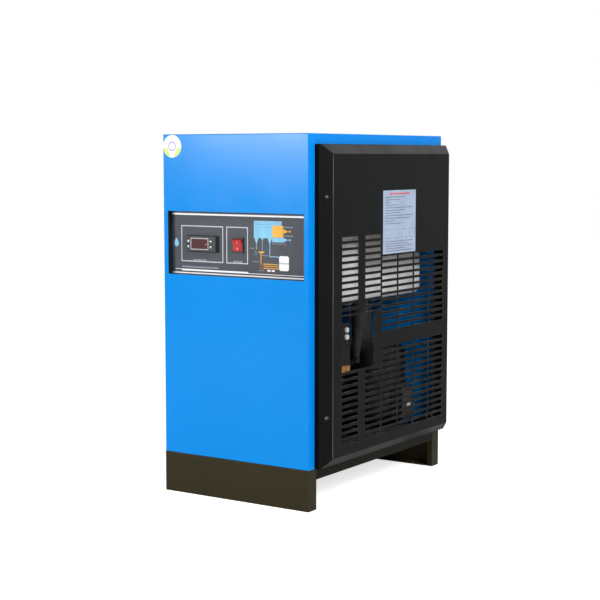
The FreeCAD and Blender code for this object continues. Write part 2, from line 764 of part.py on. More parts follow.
def controller_key(x, z):
    front = RECESS_FLOOR - BEZEL_PROUD - KEY_PROUD
    return post(KEY_RADIUS, Vec(x, front, z), Y_AXIS, KEY_LENGTH)


# ---- rocker switch ----

def switch_frame():
    """Frame on the overlay and the body behind it, open in front for the rocker."""
    half_width, half_height = switch_body_half()
    frame = block(SWITCH_X - SWITCH_WIDTH / 2, SWITCH_X + SWITCH_WIDTH / 2, SWITCH_FACE, RECESS_FLOOR,
                  CONTROL_HEIGHT - SWITCH_HEIGHT / 2, CONTROL_HEIGHT + SWITCH_HEIGHT / 2)
    body_back = RECESS_FLOOR + SWITCH_BODY_DEPTH
    body = block(SWITCH_X - half_width, SWITCH_X + half_width, RECESS_FLOOR, body_back,
                 CONTROL_HEIGHT - half_height, CONTROL_HEIGHT + half_height)
    room = block(SWITCH_X - half_width + SWITCH_BODY_WALL, SWITCH_X + half_width - SWITCH_BODY_WALL,
                 SWITCH_FACE, body_back - SWITCH_FLOOR,
                 CONTROL_HEIGHT - half_height + SWITCH_BODY_WALL,
                 CONTROL_HEIGHT + half_height - SWITCH_BODY_WALL)
    pin_start = Vec(SWITCH_X - half_width, PIVOT_Y, CONTROL_HEIGHT)
    pin_hole = rod(PIN_RADIUS + PIN_GAP, pin_start, X_AXIS, 2 * half_width)
    return frame.fuse(body).cut(room).cut(pin_hole).removeSplitter()


def rocker():
    """Shallow V rocker on two pins, tilted to off with its lower half pressed in."""
    left = SWITCH_X - ROCKER_WIDTH / 2
    pivot = Vec(left, PIVOT_Y, CONTROL_HEIGHT)
    drum = rod(ROCKER_RADIUS, pivot, X_AXIS, ROCKER_WIDTH)
    valley = SWITCH_FACE - ROCKER_PROUD
    crest = valley - ROCKER_RADIUS * math.tan(math.radians(ROCKER_TILT))
    back = PIVOT_Y + ROCKER_BACK
    low = CONTROL_HEIGHT - ROCKER_RADIUS
    top = CONTROL_HEIGHT + ROCKER_RADIUS
    paddle = drum.common(prism([Vec(left, valley, CONTROL_HEIGHT), Vec(left, crest, top),
                                Vec(left, back, top), Vec(left, back, low),
                                Vec(left, crest, low)], X_AXIS * ROCKER_WIDTH))
    pins = rod(PIN_RADIUS, pivot - X_AXIS * PIN_LENGTH, X_AXIS, ROCKER_WIDTH + 2 * PIN_LENGTH)
    paddle = paddle.fuse(pins)
    paddle.rotate(pivot, X_AXIS, ROCKER_TILT)
    return paddle


# ---- heat exchanger and air ports ----

def exchanger():
    """Insulated block of the air-to-air and air-to-refrigerant exchangers."""
    body = block(EXCHANGER_LEFT, EXCHANGER_RIGHT, EXCHANGER_FRONT, EXCHANGER_REAR,
                 EXCHANGER_BOTTOM, EXCHANGER_BOTTOM + EXCHANGER_HEIGHT)
    middle = EXCHANGER_BOTTOM + EXCHANGER_HEIGHT / 2
    return round_edges(body, EXCHANGER_ROUND, lambda p: not near(p.x, EXCHANGER_X) and not near(p.z, middle))


def rack_angle(x):
    """Rail under the exchanger with its post down to the pan."""
    post_front = EXCHANGER_FRONT + RACK_OVERHANG
    rail_low = EXCHANGER_BOTTOM - RACK_ANGLE
    shelf = block(x, x + RACK_ANGLE, post_front, REAR_INNER, EXCHANGER_BOTTOM - RACK_SHEET, EXCHANGER_BOTTOM)
    web = block(x, x + RACK_SHEET, post_front, REAR_INNER, rail_low, EXCHANGER_BOTTOM)
    post = block(x, x + RACK_ANGLE, post_front, post_front + RACK_SHEET, DECK, EXCHANGER_BOTTOM)
    post_web = block(x, x + RACK_SHEET, post_front, post_front + RACK_ANGLE, DECK, EXCHANGER_BOTTOM)
    return shelf.fuse([web, post, post_web]).removeSplitter()


def exchanger_rack():
    return Part.makeCompound([rack_angle(EXCHANGER_LEFT + RACK_LEFT), rack_angle(EXCHANGER_RIGHT - RACK_RIGHT)])


def port_places():
    return [EXCHANGER_X - PORT_SPREAD, EXCHANGER_X + PORT_SPREAD]


def port_socket(x):
    """Threaded socket from the exchanger through the rear panel."""
    start = Vec(x, EXCHANGER_REAR, PORT_HEIGHT)
    mouth = REAR + PORT_PROUD
    socket = prism(ring_of_points(TURNED_SIDES, PORT_RADIUS, start, Y_AXIS), Vec(0, mouth - EXCHANGER_REAR, 0))
    return socket.cut(rod(PORT_BORE, Vec(x, mouth - PORT_BORE_DEPTH, PORT_HEIGHT), Y_AXIS, PORT_BORE_DEPTH))


def port_locknuts():
    nuts = []
    for x in port_places():
        start = Vec(x, REAR, PORT_HEIGHT)
        nut = hexagon(LOCKNUT_FLATS, start, Y_AXIS, LOCKNUT_HEIGHT)
        hole = ring_of_points(TURNED_SIDES, LOCKNUT_HOLE, start, Y_AXIS)
        nuts.append(nut.cut(prism(hole, Y_AXIS * LOCKNUT_HEIGHT)))
    return Part.makeCompound(nuts)


# ---- compressor ----

def compressor_shell():
    """Hermetic shell turned about its axis, with the welded seam at half height."""
    radius = COMPRESSOR_RADIUS
    bottom = SHELL_BOTTOM
    top = bottom + COMPRESSOR_HEIGHT
    seam = bottom + COMPRESSOR_HEIGHT / 2
    shoulder = (COMPRESSOR_FLAT + 2 * radius) / 3
    return turned([(COMPRESSOR_FLAT, bottom), (shoulder, bottom + COMPRESSOR_DOME / 4),
                   (radius, bottom + COMPRESSOR_DOME), (radius, seam), (radius + SEAM_PROUD, seam),
                   (radius + SEAM_PROUD, seam + SEAM_HEIGHT), (radius, seam + SEAM_HEIGHT),
                   (radius, top - COMPRESSOR_DOME), (shoulder, top - COMPRESSOR_DOME / 4),
                   (COMPRESSOR_FLAT, top)], Vec(COMPRESSOR_X, COMPRESSOR_Y, 0))


def foot_places(z):
    return [Vec(COMPRESSOR_X + sx * FOOT_SPREAD, COMPRESSOR_Y + sy * FOOT_SPREAD, z)
            for sx in (-1, 1) for sy in (-1, 1)]


def compressor_feet():
    half = FOOT_PLATE / 2
    return block(COMPRESSOR_X - half, COMPRESSOR_X + half, COMPRESSOR_Y - half, COMPRESSOR_Y + half,
                 FOOT_BOTTOM, SHELL_BOTTOM)


def compressor_grommets():
    """Rubber mounts between the pan and the foot plate."""
    return Part.makeCompound([post(GROMMET_RADIUS, place, Z_AXIS, GROMMET_HEIGHT)
                              for place in foot_places(DECK)])


def compressor_nuts():
    """Nuts of the rubber mounts' studs."""
    return Part.makeCompound([hexagon(FOOT_NUT_FLATS, place, Z_AXIS, FOOT_NUT_HEIGHT)
                              for place in foot_places(SHELL_BOTTOM)])


def terminal_cover():
    """Box over the compressor's terminals, shaped to its shell."""
    middle = COMPRESSOR_Y + TERMINAL_Y
    low = SHELL_BOTTOM + TERMINAL_RISE - TERMINAL_HEIGHT / 2
    outer = COMPRESSOR_X + COMPRESSOR_RADIUS + TERMINAL_OUT
    cover = block(COMPRESSOR_X + COMPRESSOR_RADIUS - TERMINAL_OUT, outer,
                  middle - TERMINAL_WIDTH / 2, middle + TERMINAL_WIDTH / 2, low, low + TERMINAL_HEIGHT)
    core = rod(COMPRESSOR_RADIUS + FIT, Vec(COMPRESSOR_X, COMPRESSOR_Y, low), Z_AXIS, TERMINAL_HEIGHT)
    return cover.cut(core)


# ---- condenser and fan ----

def condenser_core():
    """Finned block: a web of tubes with fins standing out of both faces."""
    half = CONDENSER_LENGTH / 2
    web_half = CORE_WEB / 2
    pitch = (CONDENSER_LENGTH - FIN_SHEET) / (FIN_COUNT - 1)
    outer = []
    inner = []
    for fin in range(FIN_COUNT):
        start = -half + fin * pitch
        for y, edge in ((start, 0), (start, 1), (start + FIN_SHEET, 1), (start + FIN_SHEET, 0)):
            reach = CONDENSER_THICK / 2 if edge else web_half
            outer.append(Vec(CONDENSER_MID_X - reach, y, CONDENSER_BOTTOM))
            inner.append(Vec(CONDENSER_MID_X + reach, y, CONDENSER_BOTTOM))
    outline = outer[1:-1] + list(reversed(inner[1:-1]))
    return prism(outline, Z_AXIS * (CONDENSER_TOP - CONDENSER_BOTTOM))


def condenser_end_plates():
    """Plates that hold both ends of the core and stand on the pan."""
    start = CONDENSER_LENGTH / 2
    plate = block(CONDENSER_OUTER_X, SHROUD_X, start, CONDENSER_END, DECK, CONDENSER_TOP)
    foot = block(CONDENSER_OUTER_X, SHROUD_X, CONDENSER_END, CONDENSER_END + LEG_LIP, DECK, DECK + SHEET)
    end = plate.fuse(foot)
    return Part.makeCompound([end, mirrored(end, Vec(), Y_AXIS)])


def return_bend(z, side):
    """Bend that joins two neighbouring tubes at the rear (+1) or front (-1) end."""
    half = RETURN_BEND / 2
    outline = []
    for grow in (half, -half):
        out = side * (CONDENSER_BEND + grow)
        knee = side * CONDENSER_BEND / 2
        low = z - grow
        high = z + TUBE_PITCH + grow
        corner = CONDENSER_BEND / 2
        leg = [(0, low), (knee, low), (out, low + corner), (out, high - corner), (knee, high), (0, high)]
        outline += leg if grow > 0 else reversed(leg)
    start = side * CONDENSER_END
    corners = [Vec(CONDENSER_MID_X - half, start + y, level) for y, level in outline]
    return prism(corners, X_AXIS * RETURN_BEND)


def condenser_return_bends():
    bends = []
    for row in range(TUBE_COUNT - 1):
        side = -1 if row % 2 == 0 else 1
        bends.append(return_bend(TUBE_LOW + row * TUBE_PITCH, side))
    return Part.makeCompound(bends)


def fan_shroud():
    """Plate behind the condenser with a collar round the fan."""
    plate = block(SHROUD_X, SHROUD_X + SHEET, -CONDENSER_END, CONDENSER_END, CONDENSER_BOTTOM, CONDENSER_TOP)
    start = Vec(SHROUD_X, 0, FAN_HEIGHT)
    collar, throat = [prism(ring_of_points(SHROUD_SIDES, radius, start, X_AXIS), X_AXIS * SHROUD_COLLAR)
                      for radius in (SHROUD_RADIUS + SHEET, SHROUD_RADIUS)]
    return plate.fuse(collar).cut(throat)


def fan_bracket():
    """Bent strap from the shroud round the back of the motor."""
    back = MOTOR_X + MOTOR_LENGTH
    low = FAN_HEIGHT - BRACKET_HEIGHT / 2
    high = FAN_HEIGHT + BRACKET_HEIGHT / 2
    strap = block(SHROUD_X + SHEET, back + SHEET, -BRACKET_SPAN - SHEET, BRACKET_SPAN + SHEET, low, high)
    return strap.cut(block(SHROUD_X + SHEET, back, -BRACKET_SPAN, BRACKET_SPAN, low, high))


def fan_motor():
    start = Vec(MOTOR_X, 0, FAN_HEIGHT)
    can = prism(ring_of_points(TURNED_SIDES, MOTOR_RADIUS, start, X_AXIS), X_AXIS * MOTOR_LENGTH)
    return can.cut(rod(SHAFT_RADIUS + SHAFT_GAP, start, X_AXIS, SHAFT_GRIP + MOTOR_GAP))


def blade_section(radius, chord, pitch):
    """Flat plate section of a blade, square to the radius that runs up from the axis."""
    angle = math.radians(pitch)
    along = Vec(math.sin(angle), math.cos(angle), 0) * (chord / 2)
    across = Vec(math.cos(angle), -math.sin(angle), 0) * (BLADE_SHEET / 2)
    middle = Vec(HUB_X + HUB_LENGTH / 2, 0, FAN_HEIGHT + radius)
    return [middle - along - across, middle + along - across,
            middle + along + across, middle - along + across]


def fan_blade():
    """Blade that widens and flattens out from the hub to its tip."""
    root = HUB_RADIUS * 0.8
    sections = []
    for step in range(BLADE_STEPS + 1):
        part_way = step / BLADE_STEPS
        sections.append(blade_section(root + (BLADE_TIP - root) * part_way,
                                      BLADE_ROOT_CHORD + (BLADE_TIP_CHORD - BLADE_ROOT_CHORD) * part_way,
                                      BLADE_ROOT_PITCH + (BLADE_TIP_PITCH - BLADE_ROOT_PITCH) * part_way))
    return skin(sections)


def fan_rotor():
    """Hub with its shaft and twisted blades."""
    start = Vec(HUB_X, 0, FAN_HEIGHT)
    rotor = rod(HUB_RADIUS, start, X_AXIS, HUB_LENGTH)
    rotor = rotor.fuse(rod(SHAFT_RADIUS, start, X_AXIS, HUB_LENGTH + MOTOR_GAP + SHAFT_GRIP))
    blade = fan_blade()
    for step in range(BLADE_COUNT):
        turned = blade.copy()
        turned.rotate(start, X_AXIS, 360.0 * step / BLADE_COUNT)
        rotor = rotor.fuse(turned)
    return rotor


# ---- refrigerant lines ----

def discharge_start():
    return Vec(COMPRESSOR_X - COMPRESSOR_RADIUS, COMPRESSOR_Y, SHELL_BOTTOM + DISCHARGE_RISE)


def discharge_line():
    """Hot gas line from the compressor's side to the condenser's top tube."""
    start = discharge_start() - X_AXIS * FIT
    over = Vec(CONDENSER_MID_X, LINE_Y + CONDENSER_BEND, TUBE_HIGH)
    arrive = Vec(SHROUD_X + SHROUD_COLLAR, over.y, TUBE_HIGH)
    route = [start, start - X_AXIS * DISCHARGE_RUN, arrive, over, Vec(over.x, CONDENSER_END, over.z)]
    return tube(route, LINE_RADIUS, CONDENSER_BEND)


def liquid_start():
    return Vec(DRIER_X, LINE_Y + CONDENSER_BEND, TUBE_LOW)


def liquid_line():
    """Line from the condenser's bottom tube to the filter drier."""
    start = liquid_start()
    over = Vec(CONDENSER_MID_X, start.y, start.z)
    return tube([start, over, Vec(over.x, CONDENSER_END, over.z)], LINE_RADIUS, CONDENSER_BEND)


def filter_drier():
    return post(DRIER_RADIUS, liquid_start(), X_AXIS, DRIER_LENGTH)


def capillary_tube():
    """Fine tube from the drier up to the exchanger."""
    start = liquid_start() + X_AXIS * DRIER_LENGTH
    corner = start + X_AXIS * CAPILLARY_BEND * 1.5
    top = Vec(corner.x, corner.y, EXCHANGER_BOTTOM)
    return tube([start, corner, top], CAPILLARY_RADIUS, CAPILLARY_BEND)


def suction_line():
    """Insulated suction line from the exchanger down to the compressor's top."""
    top = SHELL_BOTTOM + COMPRESSOR_HEIGHT
    return post(SUCTION_RADIUS, Vec(COMPRESSOR_X + SUCTION_X, COMPRESSOR_Y, top), Z_AXIS,
                EXCHANGER_BOTTOM - top)


def bypass_x():
    return discharge_start().x - BYPASS_OFFSET


def bypass_line():
    """Hot gas bypass from the discharge line to its valve."""
    start = Vec(bypass_x(), COMPRESSOR_Y, discharge_start().z + LINE_RADIUS + FIT)
    corner = Vec(start.x, start.y, EXCHANGER_BOTTOM - BYPASS_DROP)
    valve_side = Vec(start.x, BYPASS_Y + BYPASS_BODY_RADIUS + FIT, corner.z)
    return tube([start, corner, valve_side], BYPASS_LINE, BYPASS_BEND)


def bypass_valve():
    """Hot gas bypass valve hanging from the exchanger, with its adjusting cap below."""
    middle = Vec(bypass_x(), BYPASS_Y, EXCHANGER_BOTTOM - BYPASS_DROP - BYPASS_BODY_HEIGHT / 2)
    body = rod(BYPASS_BODY_RADIUS, middle, Z_AXIS, BYPASS_BODY_HEIGHT)
    stem = post(LINE_RADIUS, middle, Z_AXIS, EXCHANGER_BOTTOM - middle.z)
    cap = hexagon(BYPASS_BODY_RADIUS, middle, Z_AXIS * -1, BYPASS_CAP)
    return body.fuse([stem, cap])


def pressure_switch():
    """Fan pressure switch halfway along the liquid line."""
    middle = (CONDENSER_INNER_X + DRIER_X) / 2
    start = Vec(middle, liquid_start().y, TUBE_LOW + LINE_RADIUS + FIT)
    neck = post(LINE_RADIUS / 2, start, Z_AXIS, PRESSURE_NECK)
    return neck.fuse(post(PRESSURE_RADIUS, start + Z_AXIS * PRESSURE_NECK, Z_AXIS, PRESSURE_HEIGHT))


# ---- drain ----

def drain_neck():
    """Foam sleeve round the separator's drain, stepping down to the pipe."""
    low = EXCHANGER_BOTTOM - NECK_LENGTH
    return turned([(NECK_RADIUS, EXCHANGER_BOTTOM), (NECK_RADIUS, low), (SLEEVE_RADIUS, low - NECK_TAPER),
                   (SLEEVE_RADIUS, SLEEVE_BOTTOM)], Vec(NECK_X, NECK_Y, 0))


def drain_pipe():
    """Pipe from the sleeve down and across to the drain valve."""
    valve_inlet = Vec(VALVE_X, VALVE_Y + VALVE_LENGTH / 2, VALVE_LINE)
    route = [Vec(NECK_X, NECK_Y, SLEEVE_BOTTOM), Vec(NECK_X, NECK_Y, VALVE_LINE),
             valve_inlet + Y_AXIS * VALVE_APPROACH, valve_inlet]
    return tube(route, DRAIN_LINE, DRAIN_BEND)


def drain_valve():
    """Brass valve body, with a hexagonal boss at each port."""
    reach = VALVE_LENGTH / 2
    body = block(VALVE_X - VALVE_WIDTH / 2, VALVE_X + VALVE_WIDTH / 2,
                 VALVE_Y - reach + VALVE_BOSS, VALVE_Y + reach - VALVE_BOSS, VALVE_BOTTOM, COIL_BOTTOM)
    boss = hexagon(VALVE_BOSS_FLATS, Vec(VALVE_X, VALVE_Y - reach, VALVE_LINE), Y_AXIS, 2 * reach)
    return body.fuse(boss)


def drain_coil():
    half = COIL_SIZE / 2
    return block(VALVE_X - half, VALVE_X + half, VALVE_Y - half, VALVE_Y + half, COIL_BOTTOM, TIMER_BOTTOM)


def drain_timer():
    """Timer box on the coil, with holes for both dials and the test button."""
    half = COIL_SIZE / 2
    timer = block(TIMER_FACE - TIMER_THICK, TIMER_FACE, VALVE_Y - half, VALVE_Y + half,
                  TIMER_BOTTOM, TIMER_BOTTOM + TIMER_HEIGHT)
    inward = X_AXIS * -1
    for rise in (DIAL_UPPER, DIAL_LOWER):
        start = Vec(TIMER_FACE, VALVE_Y, TIMER_BOTTOM + rise)
        timer = timer.cut(rod(DIAL_RADIUS + DIAL_GAP, start, inward, DIAL_WELL))
    start = Vec(TIMER_FACE, VALVE_Y, TIMER_BOTTOM + TEST_RISE)
    return timer.cut(post(TEST_RADIUS + KEY_GAP, start, inward, TEST_WELL))


def timer_dial(rise):
    """Dial turned with a screwdriver, set in its well."""
    end = TIMER_FACE + DIAL_PROUD
    start = Vec(end, VALVE_Y, TIMER_BOTTOM + rise)
    dial = rod(DIAL_RADIUS, start, X_AXIS * -1, DIAL_LENGTH)
    slot = block(end - DIAL_SLOT, end, VALVE_Y - DIAL_SLOT / 2, VALVE_Y + DIAL_SLOT / 2,
                 start.z - DIAL_RADIUS, start.z + DIAL_RADIUS)
    return dial.cut(slot)


def test_button():
    start = Vec(TIMER_FACE + TEST_PROUD, VALVE_Y, TIMER_BOTTOM + TEST_RISE)
    return post(TEST_RADIUS, start, X_AXIS * -1, TEST_LENGTH)


def drain_hose():
    """Hose from the valve down and back to the rear fitting."""
    outlet = Vec(VALVE_X, VALVE_Y - VALVE_LENGTH / 2, VALVE_LINE)
    loop = outlet - Y_AXIS * HOSE_LOOP
    route = [outlet, loop, Vec(HOSE_X, loop.y, HOSE_HEIGHT),
             Vec(HOSE_X, REAR_INNER - FITTING_TAIL, HOSE_HEIGHT)]
    return tube(route, HOSE_RADIUS, HOSE_BEND)


def panel_fitting(x, z, radius, flats, proud, bore):
    """Fitting bored right through: barrel in the rear panel and hexagonal body behind it."""
    start = Vec(x, REAR_INNER - FITTING_TAIL, z)
    barrel = post(radius, start, Y_AXIS, FITTING_TAIL + SHEET)
    body = hexagon(flats, Vec(x, REAR, z), Y_AXIS, proud)
    return barrel.fuse(body).cut(rod(bore, start, Y_AXIS, FITTING_TAIL + SHEET + proud))


def drain_bulkhead():
    """Push-in bulkhead fitting for the drain hose outside."""
    return panel_fitting(HOSE_X, HOSE_HEIGHT, BULKHEAD_RADIUS, BULKHEAD_FLATS, BULKHEAD_PROUD,
                         BULKHEAD_BORE)


# ---- electrics ----

def cable_gland():
    return panel_fitting(GLAND_X, GLAND_HEIGHT, GLAND_RADIUS, GLAND_FLATS, GLAND_PROUD, GLAND_BORE)


def electrical_plate():
    """Upright plate with a foot on the pan."""
    front = FRONT + PLATE_FRONT_GAP
    right = PLATE_LEFT + PLATE_WIDTH
    upright = block(PLATE_LEFT, right, front, front + SHEET, DECK, DECK + PLATE_HEIGHT)
    foot = block(PLATE_LEFT, right, front, front + PLATE_FOOT, DECK, DECK + SHEET)
    return upright.fuse(foot).removeSplitter()


def run_capacitor():
    """Motor capacitor standing on the plate's foot."""
    middle = FRONT + PLATE_FRONT_GAP + SHEET + FIT + CAPACITOR_RADIUS
    return post(CAPACITOR_RADIUS, Vec(PLATE_LEFT + CAPACITOR_ASIDE, middle, DECK + SHEET), Z_AXIS,
                CAPACITOR_HEIGHT)


def terminal_block():
    """Terminal strip on the plate, stepped where its screws are."""
    front = FRONT + PLATE_FRONT_GAP + SHEET
    low = DECK + BLOCK_RISE
    left = PLATE_LEFT + BLOCK_ASIDE - BLOCK_WIDTH / 2
    strip = block(left, left + BLOCK_WIDTH, front, front + BLOCK_DEPTH, low, low + BLOCK_HEIGHT)
    third = BLOCK_HEIGHT / 3
    for z in (low, low + 2 * third):
        strip = strip.cut(block(left, left + BLOCK_WIDTH, front + BLOCK_DEPTH / 2, front + BLOCK_DEPTH,
                                z, z + third))
    return strip


def nodes():
    """Every sub-part by its node name."""
    port_left, port_right = port_places()
    channel = front_channel()
    parts = {
        "base_front_channel": channel,
        "base_rear_channel": mirrored(channel, Vec(), Y_AXIS),
        "base_side_rails": side_rails(),
        "floor_pan": floor_pan(),
        "cabinet_shell": cabinet_shell(),
        "front_panel": front_panel(),
        "rear_panel": rear_panel(),
        "right_side_cover": side_cover(right_slots(), [access_window()]),
        "left_side_cover": mirrored(side_cover(left_slots(), []), Vec(), X_AXIS),
        "cover_clips": cover_clips(),
        "control_tray": control_tray(),
        "control_overlay": control_overlay(),
        "controller_case": controller_case(),
        "controller_lens": controller_lens(),
        "rocker_frame": switch_frame(),
        "rocker": rocker(),
        "exchanger": exchanger(),
        "exchanger_rack": exchanger_rack(),
        "air_inlet_socket": port_socket(port_left),
        "air_outlet_socket": port_socket(port_right),
        "port_locknuts": port_locknuts(),
        "compressor_shell": compressor_shell(),
        "compressor_feet": compressor_feet(),
        "compressor_grommets": compressor_grommets(),
        "compressor_nuts": compressor_nuts(),
        "compressor_terminal_cover": terminal_cover(),
        "condenser_core": condenser_core(),
        "condenser_end_plates": condenser_end_plates(),
        "condenser_return_bends": condenser_return_bends(),
        "fan_shroud": fan_shroud(),
        "fan_bracket": fan_bracket(),
        "fan_motor": fan_motor(),
        "fan_rotor": fan_rotor(),
        "discharge_line": discharge_line(),
        "liquid_line": liquid_line(),
        "filter_drier": filter_drier(),
        "capillary_tube": capillary_tube(),
        "suction_line": suction_line(),
        "bypass_line": bypass_line(),
        "bypass_valve": bypass_valve(),
        "fan_pressure_switch": pressure_switch(),
        "drain_neck": drain_neck(),
        "drain_pipe": drain_pipe(),
        "drain_valve": drain_valve(),
        "drain_coil": drain_coil(),
        "drain_timer": drain_timer(),
        "interval_dial": timer_dial(DIAL_UPPER),
        "duration_dial": timer_dial(DIAL_LOWER),
        "test_button": test_button(),
        "drain_hose": drain_hose(),
        "drain_bulkhead": drain_bulkhead(),
        "cable_gland": cable_gland(),
        "electrical_plate": electrical_plate(),
        "terminal_block": terminal_block(),
        "run_capacitor": run_capacitor(),
    }
    for place, (x, z) in key_places().items():
        parts["controller_key_" + place] = controller_key(x, z)
    return parts


def main():
    os.makedirs("parts", exist_ok=True)
    to_origin = Vec(0, -PORT_PROUD / 2, 0)
    for name, shape in nodes().items():
        shape.translate(to_origin)
        shape.exportStep("parts/" + name + ".step")


main()
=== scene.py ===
"""Refrigerated air dryer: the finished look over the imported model."""

from math import cos, pi, radians, sin

import bmesh
import bpy
from mathutils import Matrix, Vector


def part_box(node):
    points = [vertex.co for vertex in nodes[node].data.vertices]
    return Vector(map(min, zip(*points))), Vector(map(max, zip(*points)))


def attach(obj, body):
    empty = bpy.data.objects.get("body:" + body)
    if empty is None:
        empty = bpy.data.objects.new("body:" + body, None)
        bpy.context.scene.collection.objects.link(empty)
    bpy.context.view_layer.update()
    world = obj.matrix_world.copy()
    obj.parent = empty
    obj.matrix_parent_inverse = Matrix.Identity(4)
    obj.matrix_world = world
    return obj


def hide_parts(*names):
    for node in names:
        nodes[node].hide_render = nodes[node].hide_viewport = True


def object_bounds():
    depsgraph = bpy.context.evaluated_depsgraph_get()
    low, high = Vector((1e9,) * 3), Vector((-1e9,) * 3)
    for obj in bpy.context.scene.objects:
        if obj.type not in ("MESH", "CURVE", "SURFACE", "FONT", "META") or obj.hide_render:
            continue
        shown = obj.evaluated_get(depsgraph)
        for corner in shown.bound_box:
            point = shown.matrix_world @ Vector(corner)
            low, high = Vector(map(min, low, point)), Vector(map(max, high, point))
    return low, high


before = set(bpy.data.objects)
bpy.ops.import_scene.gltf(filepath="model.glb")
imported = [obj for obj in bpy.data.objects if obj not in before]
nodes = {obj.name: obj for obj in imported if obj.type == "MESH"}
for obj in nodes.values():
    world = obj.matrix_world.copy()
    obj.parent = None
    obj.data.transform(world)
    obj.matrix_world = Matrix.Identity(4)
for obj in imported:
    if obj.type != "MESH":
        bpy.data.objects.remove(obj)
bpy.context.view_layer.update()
MM = 0.001
FACING_FRONT = (pi / 2, 0, 0)
FACING_RIGHT = (pi / 2, 0, pi / 2)


def mm(x, y, z):
    """A place given in millimetres."""
    return Vector((x, y, z)) * MM


# ---- bench tools

def put_down():
    """Leave edit mode with nothing selected."""
    if bpy.context.object and bpy.context.object.mode != "OBJECT":
        bpy.ops.object.mode_set(mode="OBJECT")
    bpy.ops.object.select_all(action="DESELECT")


def pick_up(piece):
    put_down()
    piece.select_set(True)
    bpy.context.view_layer.objects.active = piece


def work_on(piece):
    """Open a piece in edit mode with nothing chosen."""
    pick_up(piece)
    bpy.ops.object.mode_set(mode="EDIT")
    bpy.ops.mesh.select_all(action="DESELECT")


def choose_all():
    bpy.ops.mesh.select_all(action="SELECT")


def choose(piece, kind, wanted):
    """Choose the faces or edges of an open piece that pass a test."""
    bpy.ops.mesh.select_all(action="DESELECT")
    bpy.ops.mesh.select_mode(type=kind)
    shape = bmesh.from_edit_mesh(piece.data)
    for part in shape.faces if kind == "FACE" else shape.edges:
        part.select_set(bool(wanted(part)))
    bmesh.update_edit_mesh(piece.data)


def choose_faces(piece, wanted):
    """Choose faces by where they are and which way they look."""
    choose(piece, "FACE", lambda face: wanted(face.calc_center_median(), face.normal))


def choose_facing(piece, *way):
    """Choose the faces that look one way."""
    choose_faces(piece, lambda at, normal: normal.dot(Vector(way)) > 0.9)


def choose_edges(piece, wanted):
    choose(piece, "EDGE", wanted)


def cut_away(kind="FACE"):
    bpy.ops.mesh.delete(type=kind)


def settle(piece):
    """Put a piece's place into its mesh."""
    pick_up(piece)
    bpy.ops.object.transform_apply(location=True, rotation=True, scale=True)


def named(name):
    piece = bpy.context.object
    piece.name = name
    piece.data.name = name
    return piece


def modify(piece, kind, **settings):
    """Put one modifier on a piece and apply it."""
    pick_up(piece)
    made = piece.modifiers.new("step", kind)
    for key, value in settings.items():
        setattr(made, key, value)
    bpy.ops.object.modifier_apply(modifier=made.name)
    put_down()


def round_bar(name, foot, head, radius, sides=48):
    """A closed cylinder from one place to another, its radius in millimetres."""
    put_down()
    run = head - foot
    turn = Vector((0, 0, 1)).rotation_difference(run.normalized())
    bpy.ops.mesh.primitive_cylinder_add(
        vertices=sides, radius=radius * MM, depth=run.length,
        location=(foot + head) / 2, rotation=turn.to_euler())
    piece = named(name)
    settle(piece)
    return piece


def block(name, low, high):
    put_down()
    low, high = Vector(low), Vector(high)
    bpy.ops.mesh.primitive_cube_add(size=1, location=(low + high) / 2, scale=high - low)
    piece = named(name)
    settle(piece)
    return piece


def disc(name, x, y, z, radius, sides, squash=1.0):
    """A flat disc that faces the front; all but y in millimetres."""
    put_down()
    bpy.ops.mesh.primitive_circle_add(vertices=sides, radius=radius * MM, fill_type="NGON",
                                      location=(x * MM, y, z * MM), rotation=FACING_FRONT)
    piece = named(name)
    piece.scale.y = squash
    settle(piece)
    return piece


# widths and distances of these are in millimetres

def set_in(width):
    bpy.ops.mesh.inset(thickness=width * MM)


def move(x, y, z):
    bpy.ops.transform.translate(value=mm(x, y, z))


def push(x, y, z):
    bpy.ops.mesh.extrude_region_move(TRANSFORM_OT_translate={"value": mm(x, y, z)})


def resize(size, centre):
    bpy.ops.transform.resize(value=size, center_override=centre)


def round_off(width, segments, affect="EDGES", **more):
    bpy.ops.mesh.bevel(offset=width * MM, segments=segments, affect=affect, **more)


def leave_rim(piece, width):
    """Cut the middle out of a flat disc."""
    work_on(piece)
    choose_all()
    set_in(width)
    cut_away()
    put_down()


def outward(piece):
    work_on(piece)
    choose_all()
    bpy.ops.mesh.normals_make_consistent(inside=False)
    put_down()


def trim(piece, width, steps=2, angle=30.0, smooth=38.0):
    """Round the edges, then shade the piece smooth with flat faces kept flat."""
    if width:
        modify(piece, "BEVEL", width=width * MM, segments=steps, limit_method="ANGLE",
               angle_limit=radians(angle), use_clamp_overlap=True)
    pick_up(piece)
    bpy.ops.object.shade_smooth_by_angle(angle=radians(smooth))
    modify(piece, "WEIGHTED_NORMAL", keep_sharp=True)


def joined(name, pieces):
    put_down()
    for piece in pieces:
        piece.select_set(True)
    bpy.context.view_layer.objects.active = pieces[0]
    bpy.ops.object.join()
    whole = named(name)
    put_down()
    return whole


def another(piece, name, seat):
    """A copy with its own mesh, put where the matrix says."""
    pick_up(piece)
    bpy.ops.object.duplicate(linked=False)
    copy = named(name)
    copy.matrix_world = seat
    settle(copy)
    put_down()
    return copy


def copy_of(node, name):
    """A merged copy of a CAD node, ready to be worked on."""
    piece = bpy.data.objects.new(name, nodes[node].data.copy())
    bpy.context.scene.collection.objects.link(piece)
    pick_up(piece)
    bpy.ops.mesh.customdata_custom_splitnormals_clear()
    work_on(piece)
    choose_all()
    bpy.ops.mesh.remove_doubles(threshold=0.01 * MM)
    bpy.ops.mesh.tris_convert_to_quads(face_threshold=radians(0.6), shape_threshold=pi)
    put_down()
    return piece


